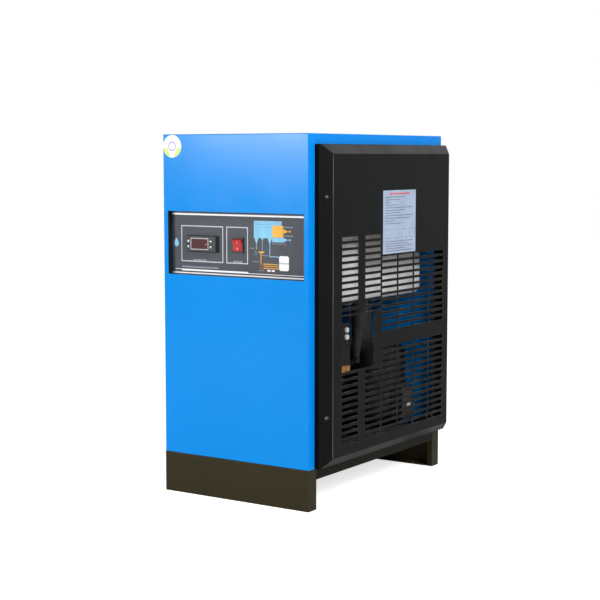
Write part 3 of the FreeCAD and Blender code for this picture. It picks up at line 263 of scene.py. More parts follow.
def fit(piece, slot, finish=None, body="cabinet"):
    """Give a finished piece its material, found by its finish or else by its slot's name, and its
    body.
    """
    piece.data.materials.clear()
    piece.data.materials.append(FINISH[finish or slot])
    for face in piece.data.polygons:
        face.material_index = 0
    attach(piece, body)


def film(piece, depth, slot, finish, body="cabinet"):
    """Give a flat print its thickness, in millimetres, and fit it."""
    modify(piece, "SOLIDIFY", thickness=depth * MM, offset=1.0)
    outward(piece)
    fit(piece, slot, finish, body)


# ---- camera

camera_data = bpy.data.cameras.new("camera")
camera_data.lens = 86.43
camera_data.sensor_width = 36.0
camera_data.clip_start = 0.05
camera_data.clip_end = 50.0
camera = bpy.data.objects.new("camera", camera_data)
camera.location = (1.7406, -2.6686, 0.7145)
camera.rotation_euler = (pi / 2 - 0.0995, 0.0, 0.5853)
bpy.context.scene.collection.objects.link(camera)
bpy.context.scene.camera = camera


# ---- shader bench

def colour(*steps):
    """A colour given in display steps of 0 to 255."""
    parts = [step / 255.0 for step in steps]
    return tuple(v / 12.92 if v <= 0.04045 else ((v + 0.055) / 1.055) ** 2.4
                 for v in parts) + (1.0,)


EFFECTS = {}


class Graph:
    """A shader tree, with short ways to add the nodes that are used most."""

    def __init__(self, tree):
        self.tree = tree

    def feed(self, socket, value):
        """Link a socket to an output, or set it to a constant."""
        if hasattr(value, "is_output"):
            self.tree.links.new(value, socket)
        else:
            socket.default_value = value

    def node(self, kind, inputs=None, **settings):
        made = self.tree.nodes.new(kind)
        for key, value in settings.items():
            setattr(made, key, value)
        for key, value in (inputs or {}).items():
            self.feed(made.inputs[key], value)
        return made

    def spread(self, source, low, high, new_low, new_high):
        """Map one range of a value on to another."""
        return self.node("ShaderNodeMapRange",
                         {"Value": source, "From Min": low, "From Max": high,
                          "To Min": new_low, "To Max": new_high}, clamp=True).outputs["Result"]

    def sums(self, operation, first, second):
        return self.node("ShaderNodeMath", {0: first, 1: second},
                         operation=operation).outputs["Value"]

    def blend(self, factor, first, second, how="MIX"):
        return self.node("ShaderNodeMix", {0: factor, 6: first, 7: second}, data_type="RGBA",
                         blend_type=how).outputs[2]

    def effect(self, name, values):
        return self.node("ShaderNodeGroup", values, node_tree=EFFECTS[name]).outputs


class Effect(Graph):
    """A shader node group under construction. An input without a value is a colour."""

    def __init__(self, name, takes, gives=("Colour", "Roughness", "Height")):
        super().__init__(bpy.data.node_groups.new(name, "ShaderNodeTree"))
        EFFECTS[name] = self.tree
        self.start = self.tree.nodes.new("NodeGroupInput")
        self.end = self.tree.nodes.new("NodeGroupOutput")
        for key, value in takes.items():
            if value is None:
                self.socket(key, "INPUT", "NodeSocketColor")
            else:
                self.socket(key, "INPUT", "NodeSocketFloat").default_value = value
        for key in gives:
            self.socket(key, "OUTPUT",
                        "NodeSocketColor" if key == "Colour" else "NodeSocketFloat")
        self.where = self.node("ShaderNodeTexCoord").outputs["Object"]

    def socket(self, key, side, kind):
        return self.tree.interface.new_socket(name=key, in_out=side, socket_type=kind)

    def given(self, key):
        return self.start.outputs[key]

    def give(self, key, value):
        self.tree.links.new(value, self.end.inputs[key])

    def noise(self, scale, detail=2.0, roughness=0.5):
        return self.node("ShaderNodeTexNoise", {"Vector": self.where, "Scale": scale,
                                                "Detail": detail,
                                                "Roughness": roughness}).outputs["Fac"]

    def cells(self, scale, feature):
        return self.node("ShaderNodeTexVoronoi", {"Vector": self.where, "Scale": scale},
                         feature=feature).outputs

    def shaded(self, factor):
        """The colour that the group is given, times a factor."""
        grey = self.node("ShaderNodeCombineColor", {0: factor, 1: factor, 2: factor})
        return self.blend(1.0, self.given("Colour"), grey.outputs[0], "MULTIPLY")

    def gloss(self, source, low=0.3, high=0.7):
        return self.spread(source, low, high, self.given("Gloss low"), self.given("Gloss high"))


def make_powder_coat():
    """Baked paint: fine orange peel, soft cloudiness, a little uneven gloss."""
    coat = Effect("powder_coat", {"Colour": None, "Cloud": 0.06, "Gloss low": 0.3,
                                  "Gloss high": 0.4, "Peel": 420.0})
    darkest = coat.sums("SUBTRACT", 1.0, coat.given("Cloud"))
    cloud = coat.spread(coat.noise(5.0, 3.0), 0.3, 0.7, darkest, 1.0)
    speck = coat.spread(coat.noise(900.0, 1.0), 0.25, 0.75, 0.97, 1.03)
    coat.give("Colour", coat.shaded(coat.sums("MULTIPLY", cloud, speck)))
    coat.give("Roughness", coat.gloss(coat.noise(14.0, 4.0, 0.6)))
    coat.give("Height", coat.noise(coat.given("Peel"), 2.0, 0.45))


def make_edge_wear_and_highlight():
    """A mask of rubbed edges, broken up by handling; on the side covers it is set strong, and there
    it is also a painted highlight.
    """
    wear = Effect("edge_wear_and_highlight", {"Width": 0.0012, "Amount": 0.5}, ("Mask",))
    rounded = wear.node("ShaderNodeBevel", {"Radius": wear.given("Width")}, samples=4)
    plain = wear.node("ShaderNodeNewGeometry")
    facing = wear.node("ShaderNodeVectorMath",
                       {0: rounded.outputs["Normal"], 1: plain.outputs["Normal"]},
                       operation="DOT_PRODUCT")
    bent = wear.spread(facing.outputs["Value"], 0.97, 0.86, 0.0, 1.0)
    rubbed = wear.spread(wear.noise(34.0, 5.0, 0.65), 0.42, 0.62, 0.0, wear.given("Amount"))
    wear.give("Mask", wear.sums("MULTIPLY", bent, rubbed))


def make_dust():
    """Dust that has settled on upward faces."""
    dust = Effect("settled_dust", {"Amount": 0.25}, ("Mask",))
    plain = dust.node("ShaderNodeNewGeometry")
    apart = dust.node("ShaderNodeSeparateXYZ", {0: plain.outputs["Normal"]})
    upward = dust.spread(apart.outputs["Z"], 0.3, 1.0, 0.0, dust.given("Amount"))
    cloud = dust.spread(dust.noise(40.0, 5.0, 0.6), 0.3, 0.75, 0.25, 1.0)
    dust.give("Mask", dust.sums("MULTIPLY", upward, cloud))


def make_moulded():
    """Moulded plastic and rubber: fine eroded grain and faint flow shade."""
    skin = Effect("moulded", {"Colour": None, "Grain": 1600.0, "Gloss low": 0.35,
                              "Gloss high": 0.5})
    skin.give("Colour", skin.shaded(skin.spread(skin.noise(22.0, 3.0), 0.3, 0.7, 0.9, 1.06)))
    skin.give("Roughness", skin.gloss(skin.noise(60.0, 4.0, 0.6)))
    skin.give("Height", skin.noise(skin.given("Grain"), 2.0, 0.6))


def make_worked_metal():
    """Rolled or turned metal: crystals, uneven gloss and dull patches."""
    skin = Effect("worked_metal", {"Colour": None, "Tarnish": None, "Spangle": 90.0,
                                   "Gloss low": 0.28, "Gloss high": 0.5})
    crystal = skin.cells(skin.given("Spangle"), "F1")
    flake = skin.node("ShaderNodeSeparateColor", {0: crystal["Color"]}).outputs
    dull = skin.noise(24.0, 5.0, 0.6)
    bright = skin.shaded(skin.spread(flake[0], 0.0, 1.0, 0.86, 1.04))
    patch = skin.spread(dull, 0.45, 0.75, 0.0, 0.85)
    skin.give("Colour", skin.blend(patch, bright, skin.given("Tarnish")))
    mixed = skin.sums("ADD", skin.sums("MULTIPLY", flake[1], 0.5),
                      skin.sums("MULTIPLY", dull, 0.5))
    skin.give("Roughness", skin.gloss(mixed, 0.1, 0.9))
    skin.give("Height", skin.noise(700.0, 3.0, 0.6))


def make_foam_cells():
    """Closed-cell foam: small cells, soft dents and a mottled skin."""
    skin = Effect("foam_cells", {"Colour": None, "Stain": None, "Cells": 500.0, "Stained": 0.5},
                  ("Colour", "Height"))
    stain = skin.spread(skin.noise(16.0, 5.0, 0.6), 0.45, 0.7, 0.0, skin.given("Stained"))
    skin.give("Colour", skin.blend(stain, skin.given("Colour"), skin.given("Stain")))
    cell = skin.cells(skin.given("Cells"), "SMOOTH_F1")
    skin.give("Height", skin.sums("ADD", skin.sums("MULTIPLY", cell["Distance"], 0.5),
                                  skin.noise(45.0, 4.0, 0.6)))


make_powder_coat()
make_edge_wear_and_highlight()
make_dust()
make_moulded()
make_worked_metal()
make_foam_cells()

FINISH = {}
EDGE_MASK_WIDTH = 1.1 * MM
DUST = colour(150, 146, 138)


def blank_material(name):
    """A new material, its graph and the inputs of its shader."""
    made = bpy.data.materials.new(name)
    made.use_nodes = True
    graph = Graph(made.node_tree)
    return made, graph, graph.tree.nodes["Principled BSDF"].inputs


def surface(name, effect, values, gloss, grain, worn=None, dust=0.0, **constants):
    """A material from one shared effect, with rubbed edges and dust over it if it has them; on the
    covers the rubbed edges are partly a painted highlight.
    """
    FINISH[name], graph, shader = blank_material(name)
    values = {key: colour(*value) if isinstance(value, tuple) else value
              for key, value in values.items()}
    if gloss:
        values["Gloss low"], values["Gloss high"] = gloss
    skin = graph.effect(effect, values)
    shade = skin["Colour"]
    if worn:
        bare, amount = worn
        mask = graph.effect("edge_wear_and_highlight", {"Width": EDGE_MASK_WIDTH, "Amount": amount})["Mask"]
        shade = graph.blend(mask, shade, colour(*bare))
    if dust:
        mask = graph.effect("settled_dust", {"Amount": dust})["Mask"]
        shade = graph.blend(mask, shade, DUST)
    bump = graph.node("ShaderNodeBump", {"Distance": grain * MM, "Strength": 1.0,
                                         "Height": skin["Height"]})
    graph.feed(shader["Base Color"], shade)
    graph.feed(shader["Normal"], bump.outputs["Normal"])
    if "Roughness" in skin:
        graph.feed(shader["Roughness"], skin["Roughness"])
    for key, value in constants.items():
        shader[key.replace("_", " ")].default_value = value
    return graph, bump


# in all of these gloss is the lowest and highest roughness, and depth is in millimetres

def painted(name, paint, bare, cloud, gloss, peel, wear, depth=0.06, specular=0.5, dust=0.0):
    """Powder-coated sheet with rubbed edges, which on the covers are partly a painted edge
    highlight.
    """
    surface(name, "powder_coat", {"Colour": paint, "Cloud": cloud, "Peel": peel}, gloss, depth,
            (bare, wear), dust, Specular_IOR_Level=specular)


def plastic(name, tint, gloss, grain=1600.0, depth=0.03, coat=0.0, dust=0.0, specular=0.5):
    surface(name, "moulded", {"Colour": tint, "Grain": grain}, gloss, depth, None, dust,
            Coat_Weight=coat, Specular_IOR_Level=specular, Coat_Roughness=0.08)


def metal(name, tint, tarnish, spangle, gloss, thread=0.0):
    """Bare metal, with a screw thread of the given pitch along y if it has one."""
    values = {"Colour": tint, "Tarnish": tarnish, "Spangle": spangle}
    graph, bump = surface(name, "worked_metal", values, gloss, 0.02, Metallic=1.0)
    if thread:
        where = graph.node("ShaderNodeTexCoord").outputs["Object"]
        turns = graph.node("ShaderNodeTexWave",
                           {"Scale": 2 * pi / (20 * thread), "Distortion": 0.0, "Vector": where},
                           wave_type="BANDS", bands_direction="Y")
        cut = graph.node("ShaderNodeBump", {"Distance": thread * 0.35,
                                            "Height": turns.outputs["Fac"]})
        graph.feed(bump.inputs["Normal"], cut.outputs["Normal"])


def foam(name, tint, stain, cells, stained, depth, roughness):
    values = {"Colour": tint, "Stain": stain, "Cells": cells, "Stained": stained}
    surface(name, "foam_cells", values, None, depth, Roughness=roughness)


painted("cabinet_blue", (0, 131, 214), (110, 190, 240), 0.05, (0.18, 0.25), 480, 0.35, 0.03, 0.10)
# the covers' edges are rubbed strong and pale: partly wear, partly a painted highlight along the
# edges
painted("cover_black", (12, 14, 13), (132, 132, 126), 0.10, (0.36, 0.46), 560, 0.8, 0.09, 0.05)
painted("base_black", (42, 37, 17), (112, 100, 78), 0.12, (0.40, 0.52), 520, 0.7, 0.09, 0.10, 0.06)
# the side rails' paint is darker than the front channel's: painted shade on the side away from the
# light
painted("rail_black_painted_shade", (14, 14, 6), (96, 88, 70), 0.12, (0.40, 0.52), 520, 0.5, 0.09, 0.05)
painted("panel_grey", (30, 32, 36), (96, 100, 104), 0.06, (0.42, 0.52), 700, 0.2, specular=0.1)
painted("compressor_black", (20, 20, 21), (80, 80, 80), 0.15, (0.26, 0.4), 300, 0.3, 0.12, 0.2, 0.2)
painted("shell_blue", (0, 134, 228), (110, 190, 240), 0.05, (0.36, 0.46), 480, 0.35, 0.03, 0.09)
# a paler copy of the cover paint for the upright bends: a painted highlight along the folds, broken
# up by the cloud
painted("bend_painted_highlight", (78, 80, 78), (132, 132, 126), 0.6, (0.36, 0.46), 560, 0.5, 0.09, 0.1)

plastic("overlay_grey", (72, 76, 82), (0.36, 0.44), 2400, 0.02, specular=0.09)
plastic("black_plastic", (38, 39, 41), (0.38, 0.52), 1500, 0.05, specular=0.25)
plastic("switch_black", (20, 20, 21), (0.32, 0.44), specular=0.25)
plastic("switch_red", (174, 10, 24), (0.18, 0.26), 1800, 0.01, coat=0.2, specular=0.3)
plastic("lens_red", (72, 31, 31), (0.10, 0.16), 900, 0.005, coat=0.3, specular=0.3)
plastic("lens_frame_grey", (150, 154, 156), (0.3, 0.4))
plastic("mount_rubber", (34, 34, 34), (0.6, 0.75), 900, 0.12)
plastic("terminal_grey", (42, 43, 44), (0.42, 0.55), 1400, dust=0.12)
plastic("fan_black", (30, 31, 33), (0.36, 0.5), 1200, dust=0.25)
plastic("coil_black", (22, 22, 24), (0.36, 0.5), 1500, 0.05, specular=0.2)
plastic("dial_white", (214, 214, 208), (0.32, 0.42), 1800)
plastic("hose_blue", (12, 18, 30), (0.22, 0.32), 1200, 0.01, coat=0.3)
plastic("block_white", (206, 206, 198), (0.4, 0.52), 1500, dust=0.2)

metal("zinc_steel", (190, 194, 196), (138, 142, 142), 110, (0.28, 0.46))
metal("brass", (212, 158, 92), (168, 112, 62), 260, (0.24, 0.42))
metal("socket_thread", (204, 170, 104), (150, 118, 66), 260, (0.26, 0.42), thread=2.309 * MM)
metal("copper", (204, 140, 108), (140, 88, 66), 180, (0.26, 0.46))
metal("fin_aluminium", (198, 202, 204), (156, 160, 160), 160, (0.30, 0.48))
metal("screw_zinc", (128, 106, 98), (62, 48, 42), 400, (0.2, 0.36))

foam("insulation_white", (250, 250, 249), (222, 218, 190), 420, 0.4, 0.7, 0.8)
foam("foam_black", (44, 46, 46), (30, 31, 31), 600, 0.5, 0.4, 0.75)

# screen-printed inks with a slightly uneven film, by their gloss
INKS = {
    (0.38, 0.5): {
        "print_white": (236, 237, 238), "print_grey": (188, 190, 196),
        "print_sky": (118, 180, 211), "print_deep": (84, 164, 206),
        "print_orange": (222, 162, 20), "print_cream": (250, 216, 140),
        "print_brown": (132, 84, 52), "print_caption": (150, 156, 166),
        "label_ink": (96, 102, 110), "label_rose": (206, 96, 108),
        "key_print": (246, 246, 246), "rocker_print": (226, 150, 150)},
    (0.3, 0.42): {"label_paper": (157, 173, 197)},
    (0.28, 0.4): {"sticker_green": (186, 212, 92), "sticker_white": (228, 230, 232),
                  "sticker_violet": (120, 116, 214)},
}
for ink_gloss, tints in INKS.items():
    for ink_name, ink_tint in tints.items():
        plastic(ink_name, ink_tint, ink_gloss, 2600, 0.01, specular=0.25)


# ---- covers

COVER_WALL_X = 183.6 * MM     # nothing nearer the middle than this is bent
COVER_FACE_X = 213.0 * MM     # the flat face lies beyond this
COVER_FACE_Y = (-243.0 * MM, 241.0 * MM)
COVER_FACE_Z = (109.0 * MM, 715.0 * MM)
COVER_BEND_X = 212.5 * MM     # the outer faces of the upright bends lie beyond this
COVER_BEND_AREA = 50 * MM * MM


def fold_edges(edge):
    """Edges where the cover's sheet is bent, inside and out."""
    if len(edge.link_faces) != 2 or edge.calc_length() < 8 * MM:
        return False
    if edge.calc_face_angle(0.0) < radians(20):
        return False
    ends = [vert.co for vert in edge.verts]
    if all(abs(end.x) < COVER_WALL_X for end in ends):
        return False
    return not any(abs(end.x) > COVER_FACE_X and COVER_FACE_Y[0] <= end.y <= COVER_FACE_Y[1]
                   and COVER_FACE_Z[0] <= end.z <= COVER_FACE_Z[1] for end in ends)


def make_side_cover(node, name):
    """The pressed cover with its bends rounded, its cut edges eased and a painted highlight on its
    upright bends.
    """
    cover = copy_of(node, name)
    work_on(cover)
    choose_edges(cover, fold_edges)
    round_off(1.5, 3, clamp_overlap=True)
    trim(cover, 0.18, 1, 40.0, 30.0)
    fit(cover, "cover_black")
    cover.data.materials.append(FINISH["bend_painted_highlight"])
    for face in cover.data.polygons:
        # the upright bends between the bevel and the face get a paler paint: a painted highlight
        # along each fold
        way = face.normal
        upright_bend = 0.74 < abs(way.x) < 0.985 and abs(way.y) > 0.1 and abs(way.z) < 0.05
        if upright_bend and abs(face.center.x) > COVER_BEND_X and face.area > COVER_BEND_AREA:
            face.material_index = 1
    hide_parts(node)


make_side_cover("right_side_cover", "pressed_cover_right")
make_side_cover("left_side_cover", "pressed_cover_left")


def cut_cross(screw, low, high, across):
    """Cut a cross recess along x and one more axis into a screw's head, then shade it."""
    cross = block("screw_cross", low, high)
    work_on(cross)
    for wanted in (lambda at, way: abs(way.x) > 0.9,
                   lambda at, way: abs(way[across]) > 0.9 and abs(at.x) < 0.1 * MM):
        choose_faces(cross, wanted)
        bpy.ops.mesh.extrude_faces_move(TRANSFORM_OT_shrink_fatten={"value": 1.3 * MM})
    outward(cross)
    modify(screw, "BOOLEAN", object=cross, operation="DIFFERENCE", solver="EXACT")
    bpy.data.objects.remove(cross)
    trim(screw, 0.0, smooth=40.0)


def make_screw_head():
    """A domed head with a cross recess, at the frame's origin."""
    put_down()
    bpy.ops.mesh.primitive_uv_sphere_add(segments=32, ring_count=16, radius=3.9 * MM,
                                         location=(0, 0, -1.6 * MM))
    head = named("screw_head")
    settle(head)
    work_on(head)
    choose_all()
    bpy.ops.mesh.bisect(plane_co=(0, 0, 0.3 * MM), plane_no=(0, 0, 1), clear_inner=True,
                        use_fill=True)
    cut_cross(head, mm(-0.4, -0.4, 0.9), mm(0.4, 0.4, 3.0), 1)
    return head


def make_washer():
    """The dished washer under a cover screw, at the frame's origin."""
    washer = round_bar("screw_washer", mm(0, 0, 0), mm(0, 0, 0.6), 4.9, 40)
    work_on(washer)
    choose_facing(washer, 0, 0, 1)
    set_in(1.0)
    move(0, 0, -0.2)
    trim(washer, 0.12, 2, 30.0, 40.0)
    return washer


def make_cover_screws():
    """Four screws with washers in the bevel of each cover."""
    head, washer = make_screw_head(), make_washer()
    bevel_x, bevel_y = 0.725, 0.689     # the way that the bevel looks
    for side, side_name in ((1, "right"), (-1, "left")):
        washers = []
        for y, end, end_name in ((-256, -1, "front"), (254, 1, "rear")):
            for z, row_name in ((189.8, "lower"), (634.5, "upper")):
                way = Vector((bevel_x * side, bevel_y * end, 0.0)).normalized()
                # each screw stopped at a turn of its own
                stop = Matrix.Rotation(0.7 + 13.0 * z * MM + 1.3 * side, 4, "Z")
                seat = (Matrix.Translation(mm(205.5 * side, y, z) + way * 0.05 * MM)
                        @ Vector((0, 0, 1)).rotation_difference(way).to_matrix().to_4x4()
                        @ stop)
                spot = side_name + "_" + end_name + "_" + row_name
                fit(another(head, "cover_screw_head_" + spot, seat), "zinc_steel", "screw_zinc")
                washers.append(another(washer, "cover_screw_washer_" + spot, seat))
        fit(joined("cover_screw_washers_" + side_name, washers), "cover_black")
    bpy.data.objects.remove(head)
    bpy.data.objects.remove(washer)


make_cover_screws()


# ---- prints

OVERLAY_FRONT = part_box("control_overlay")[0].y
LIFT = 0.06 * MM     # how far a second ink stands off the first


def open_print(name):
    """Start an empty flat print, open for its first patch."""
    put_down()
    bpy.ops.mesh.primitive_plane_add(size=1, location=(0, 0, 0))
    piece = named(name)
    work_on(piece)
    choose_all()
    cut_away("VERT")
    return piece


def add_patch(centre, width, height, facing_right=False):
    """Lay one more rectangle into the open print."""
    bpy.ops.mesh.select_all(action="DESELECT")
    bpy.ops.mesh.primitive_plane_add(size=1, location=centre,
                                     rotation=FACING_RIGHT if facing_right else FACING_FRONT)
    resize((1, width, height) if facing_right else (width, 1, height), centre)


def add_panel(x0, x1, z0, z1, y=OVERLAY_FRONT):
    """Lay a rectangle given in millimetres into a print that faces the front."""
    add_patch(((x0 + x1) / 2 * MM, y, (z0 + z1) / 2 * MM), (x1 - x0) * MM, (z1 - z0) * MM)


def add_slant(points, y=OVERLAY_FRONT):
    """The same with any four corners, from the lower left one round to the upper left one."""
    add_panel(-0.5, 0.5, -0.5, 0.5, y)
    corners = dict(zip(((False, False), (True, False), (True, True), (False, True)), points))
    piece = bpy.context.object
    shape = bmesh.from_edit_mesh(piece.data)
    for vert in [v for v in shape.verts if v.select]:
        x, z = corners[vert.co.x > 0, vert.co.z > 0]
        vert.co.x, vert.co.z = x * MM, z * MM
    bmesh.update_edit_mesh(piece.data)


def print_bars(name, bars, finish, lift=0.0):
    piece = open_print(name)
    for bar in bars:
        add_panel(*bar, OVERLAY_FRONT - lift)
    film(piece, 0.05, "overlay_grey", finish)


def frame_bars(x0, x1, z0, z1, line):
    """The four bars of an empty box."""
    return [(x0, x1, z0, z0 + line), (x0, x1, z1 - line, z1),
            (x0, x0 + line, z0 + line, z1 - line), (x1 - line, x1, z0 + line, z1 - line)]


def dots(lefts, levels, size):
    return [(x, x + size, z, z + size) for x in lefts for z in levels]


def make_overlay_bars():
    """Lines, boxes and blocks of the printed panel."""
    print_bars("overlay_lines_white",
               [(-171, 171, 591.8, 595.4), (-171, 171, 468.6, 471.4),
                (-146, 26, 474.6, 478.2), (-163, -146, 477.2, 478.4), (26, 171, 474.6, 475.8),
                (74, 81.5, 481.4, 484.6), (84.5, 92, 481.4, 484.6)], "print_white")
    print_bars("overlay_boxes", frame_bars(-147, -37.5, 494, 570, 2.0)
               + frame_bars(-29.3, 25.5, 494, 570, 2.0), "print_grey")
    print_bars("overlay_air_block",
               [(40.5, 86, 549, 584), (86, 109, 575, 584), (86, 113, 541.5, 551.4),
                (79.2, 80.8, 511, 538), (80.8, 103, 511, 512.6)], "print_sky")
    print_bars("overlay_air_block_lines",
               [(45.0, 46.4, 551, 577.4), (46.4, 86, 576.0, 577.4), (51, 52.2, 551, 572),
                (52.2, 86, 570.8, 572)] + dots((64, 70, 76, 82), (555, 560, 565), 1.6)
               + [(60.9, 62.1, 521.5, 545)], "print_deep", LIFT)
    print_bars("overlay_hot_block",
               [(86, 113, 551.6, 575), (53, 66, 518.5, 521.5), (57, 59, 497, 518.5),
                (58, 100, 495.4, 497.2), (64, 103, 491.4, 492.8), (64, 103, 486.8, 488.6)],
               "print_orange")
    print_bars("overlay_hot_dots",
               dots((89, 93.5, 98, 102.5, 107), (554.5, 559, 563.5, 568, 572), 1.3),
               "print_cream", LIFT)
    print_bars("overlay_coil", frame_bars(55, 65.5, 485.5, 497, 1.3)
               + [(58, 62.5, 488.5, 489.6), (58, 62.5, 492, 493.1)], "print_brown", LIFT)


def add_arrow(root, level):
    """An arrow to the right: a slanted root, a dash and a head above a level."""
    add_slant(root)
    add_panel(124, 128, level + 2.0, level + 3.4)
    add_slant([(128, level), (132, level + 2.6), (132, level + 2.8), (128, level + 5.4)])


def make_overlay_arrows():
    air = open_print("overlay_air_arrows")
    add_arrow([(113, 541.5), (122.5, 545.6), (122.5, 548.0), (113, 551.4)], 544.2)
    for centre in (47, 80):
        add_slant([(centre - 1, 538), (centre + 1, 538), (centre + 5, 549), (centre - 5, 549)])
    add_slant([(60.5, 545), (62.5, 545), (64.5, 549), (58.5, 549)])
    add_panel(46.6, 47.4, 530, 538)
    for x, z in ((43, 521), (46, 520.4), (44.4, 517.6), (47.6, 517.2), (42.4, 514.6),
                 (45.8, 514.2)):
        add_panel(x, x + 1.2, z, z + 1.2)
    film(air, 0.05, "overlay_grey", "print_sky")
    warm = open_print("overlay_warm_arrows")
    add_arrow([(113, 559.5), (122.5, 562.4), (122.5, 565.2), (113, 568)], 561.2)
    add_panel(46.2, 47.8, 526.5, 530)
    add_slant([(56.4, 500), (59.6, 500), (58.2, 507), (57.8, 507)])
    film(warm, 0.05, "overlay_grey", "print_orange")


def make_compressor_sign():
    """The round-cornered box with a band, printed for the compressor."""
    sign = open_print("overlay_compressor_sign")
    add_panel(103, 126.5, 484.0, 514.0)
    choose_all()
    round_off(4.0, 6, "VERTICES")
    film(sign, 0.05, "overlay_grey", "print_white")
    print_bars("overlay_compressor_band", [(103, 126.5, 497.4, 501.2)], "print_grey", LIFT)


def make_captions():
    """Broken lines in place of the panel's words: from x to x, z to z, and the step."""
    rows = [(-115, -78, 495.4, 499.6, 3.9), (-11, 13, 496.4, 499.8, 3.9),
            (-145, -47, 481.2, 484.4, 3.1), (115, 137, 571.4, 573.2, 3.2),
            (115, 139, 554.0, 555.8, 3.2), (86, 120, 537.6, 538.8, 2.8),
            (30, 44, 526.8, 528.2, 3.0), (61, 76, 512.8, 514.2, 3.0),
            (38, 53, 499.4, 500.8, 3.0), (52, 68, 481.8, 483.0, 3.0)]
    captions = []
    for start, end, low, high, step in rows:
        while start + step * 0.7 <= end:
            captions.append((start, start + step * 0.62, low, high))
            start += step
    print_bars("overlay_captions", captions, "print_caption", LIFT)


def make_drop():
    """The light-blue drop printed on the left of the overlay."""
    x, z, radius, tip = -160, 531, 6, 11.5
    drop = disc("overlay_drop", x, OVERLAY_FRONT, z, radius, 32)
    work_on(drop)
    shape = bmesh.from_edit_mesh(drop.data)
    for vert in shape.verts:
        rise = (vert.co.z - z * MM) / (radius * MM)
        if rise > 0:
            vert.co.x = x * MM + (vert.co.x - x * MM) * (1 - 0.35 * rise)
            vert.co.z = z * MM + rise * tip * MM
    bmesh.update_edit_mesh(drop.data)
    film(drop, 0.05, "overlay_grey", "print_sky")


make_overlay_bars()
make_overlay_arrows()
make_compressor_sign()
make_captions()
make_drop()


def side_bars(name, face, bars, finish, depth=0.03, slot="cover_black"):
    """Flat patches on a face that looks right, each from y to y and z to z."""
    piece = open_print(name)
    for y0, y1, z0, z1 in bars:
        add_patch((face, (y0 + y1) / 2 * MM, (z0 + z1) / 2 * MM), (y1 - y0) * MM,
                  (z1 - z0) * MM, True)
    film(piece, depth, slot, finish)


def rules(left, top, lengths, step, line):
    """Rows of different lengths that hang under one another."""
    return [(left, left + length, top - row * step - line, top - row * step)
            for row, length in enumerate(lengths)]


def make_side_label():
    """A blank form on the right cover: ruled rows over and under a row of empty boxes."""
    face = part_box("right_side_cover")[1].x
    thickness = 0.08
    paper = open_print("side_label")
    add_patch((face, 19.0 * MM, 575.65 * MM), 140.0 * MM, 134.1 * MM, True)
    choose_all()
    round_off(1.5, 4, "VERTICES")
    film(paper, thickness, "cover_black", "label_paper")

    front = face + thickness * MM
    side_bars("side_label_title", front, [(-24, 62, 633.5, 637.0)], "label_rose")
    bars = rules(-42, 629.0, (84, 60, 20, 52, 118, 82, 64, 116, 106, 40, 66), 5.6, 1.4)
    for left in (-40, -6, 28, 62):
        bars += frame_bars(left, left + 22, 541, 560, 0.7)
    bars += rules(-43, 535.0, (120, 96, 122, 88, 118), 5.0, 1.3)
    side_bars("side_label_rules", front, bars, "label_ink")


make_side_label()


def make_round_sticker():
    """A plain sticker on the front panel's upper corner: two fields and a ring on white."""
    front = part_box("front_panel")[0].y
    x, z, field_top = -158.4, 735.0, 731.6
    film(disc("corner_sticker", x, front, z, 24, 64, 23.5 / 24), 0.05, "cabinet_blue",
         "sticker_white")
    for side, side_name in ((-1, "left"), (1, "right")):
        field = disc("corner_sticker_field_" + side_name, x, front - 0.05 * MM, z, 23.6, 64,
                     23.1 / 23.6)
        work_on(field)
        for cut_x, normal in ((x, (0, 0, 1)), (x + side * 12, (-0.93 * side, 0, 0.37))):
            choose_all()
            bpy.ops.mesh.bisect(plane_co=(cut_x * MM, front, field_top * MM), plane_no=normal,
                                clear_outer=True)
        film(field, 0.05, "cabinet_blue", "sticker_green")
    ring = disc("corner_sticker_ring", x, front - 0.1 * MM, z, 10, 48)
    leave_rim(ring, 2.4)
    film(ring, 0.05, "cabinet_blue", "sticker_violet")


make_round_sticker()


# ---- controller and switch

def make_lens_frame():
    """The light frame round the controller's window."""
    low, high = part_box("controller_lens")
    case_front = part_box("controller_case")[0].y
    margin = 2.4 * MM
    rim = block("lens_frame", (low.x - margin, case_front - 0.02 * MM, low.z - margin),
                (high.x + margin, case_front + 0.4 * MM, high.z + margin))
    work_on(rim)
    choose_edges(rim, lambda edge: abs((edge.verts[0].co - edge.verts[1].co).normalized().y) > 0.9)
    round_off(2.6, 6)
    choose_facing(rim, 0, -1, 0)
    set_in(2.0)
    push(0, 0.3, 0)
    cut_away()
    choose_facing(rim, 0, 1, 0)
    cut_away()
    trim(rim, 0.0, smooth=40.0)
    fit(rim, "black_plastic", "lens_frame_grey")


def make_controller_case():
    """The controller's moulded case, its bezel chamfered all round the front."""
    low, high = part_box("controller_case")
    case = copy_of("controller_case", "controller_case_moulded")
    near = 0.1 * MM

    def on_outline(edge):
        ends = [vert.co for vert in edge.verts]
        if any(end.y > low.y + near for end in ends):
            return False
        return any(all(end[axis] < low[axis] + near for end in ends)
                   or all(end[axis] > high[axis] - near for end in ends) for axis in (0, 2))

    work_on(case)
    choose_edges(case, on_outline)
    round_off(2.0, 2, profile=0.5)
    trim(case, 0.25, 2, 34.0)
    fit(case, "black_plastic")
    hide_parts("controller_case")


def make_lens_lamp():
    """The small pale ring of the lamp in the controller's window."""
    lamp = disc("lens_lamp", -75.2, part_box("controller_lens")[0].y, 531.5, 1.5, 24)
    leave_rim(lamp, 0.7)
    film(lamp, 0.04, "lens_red", "rocker_print")


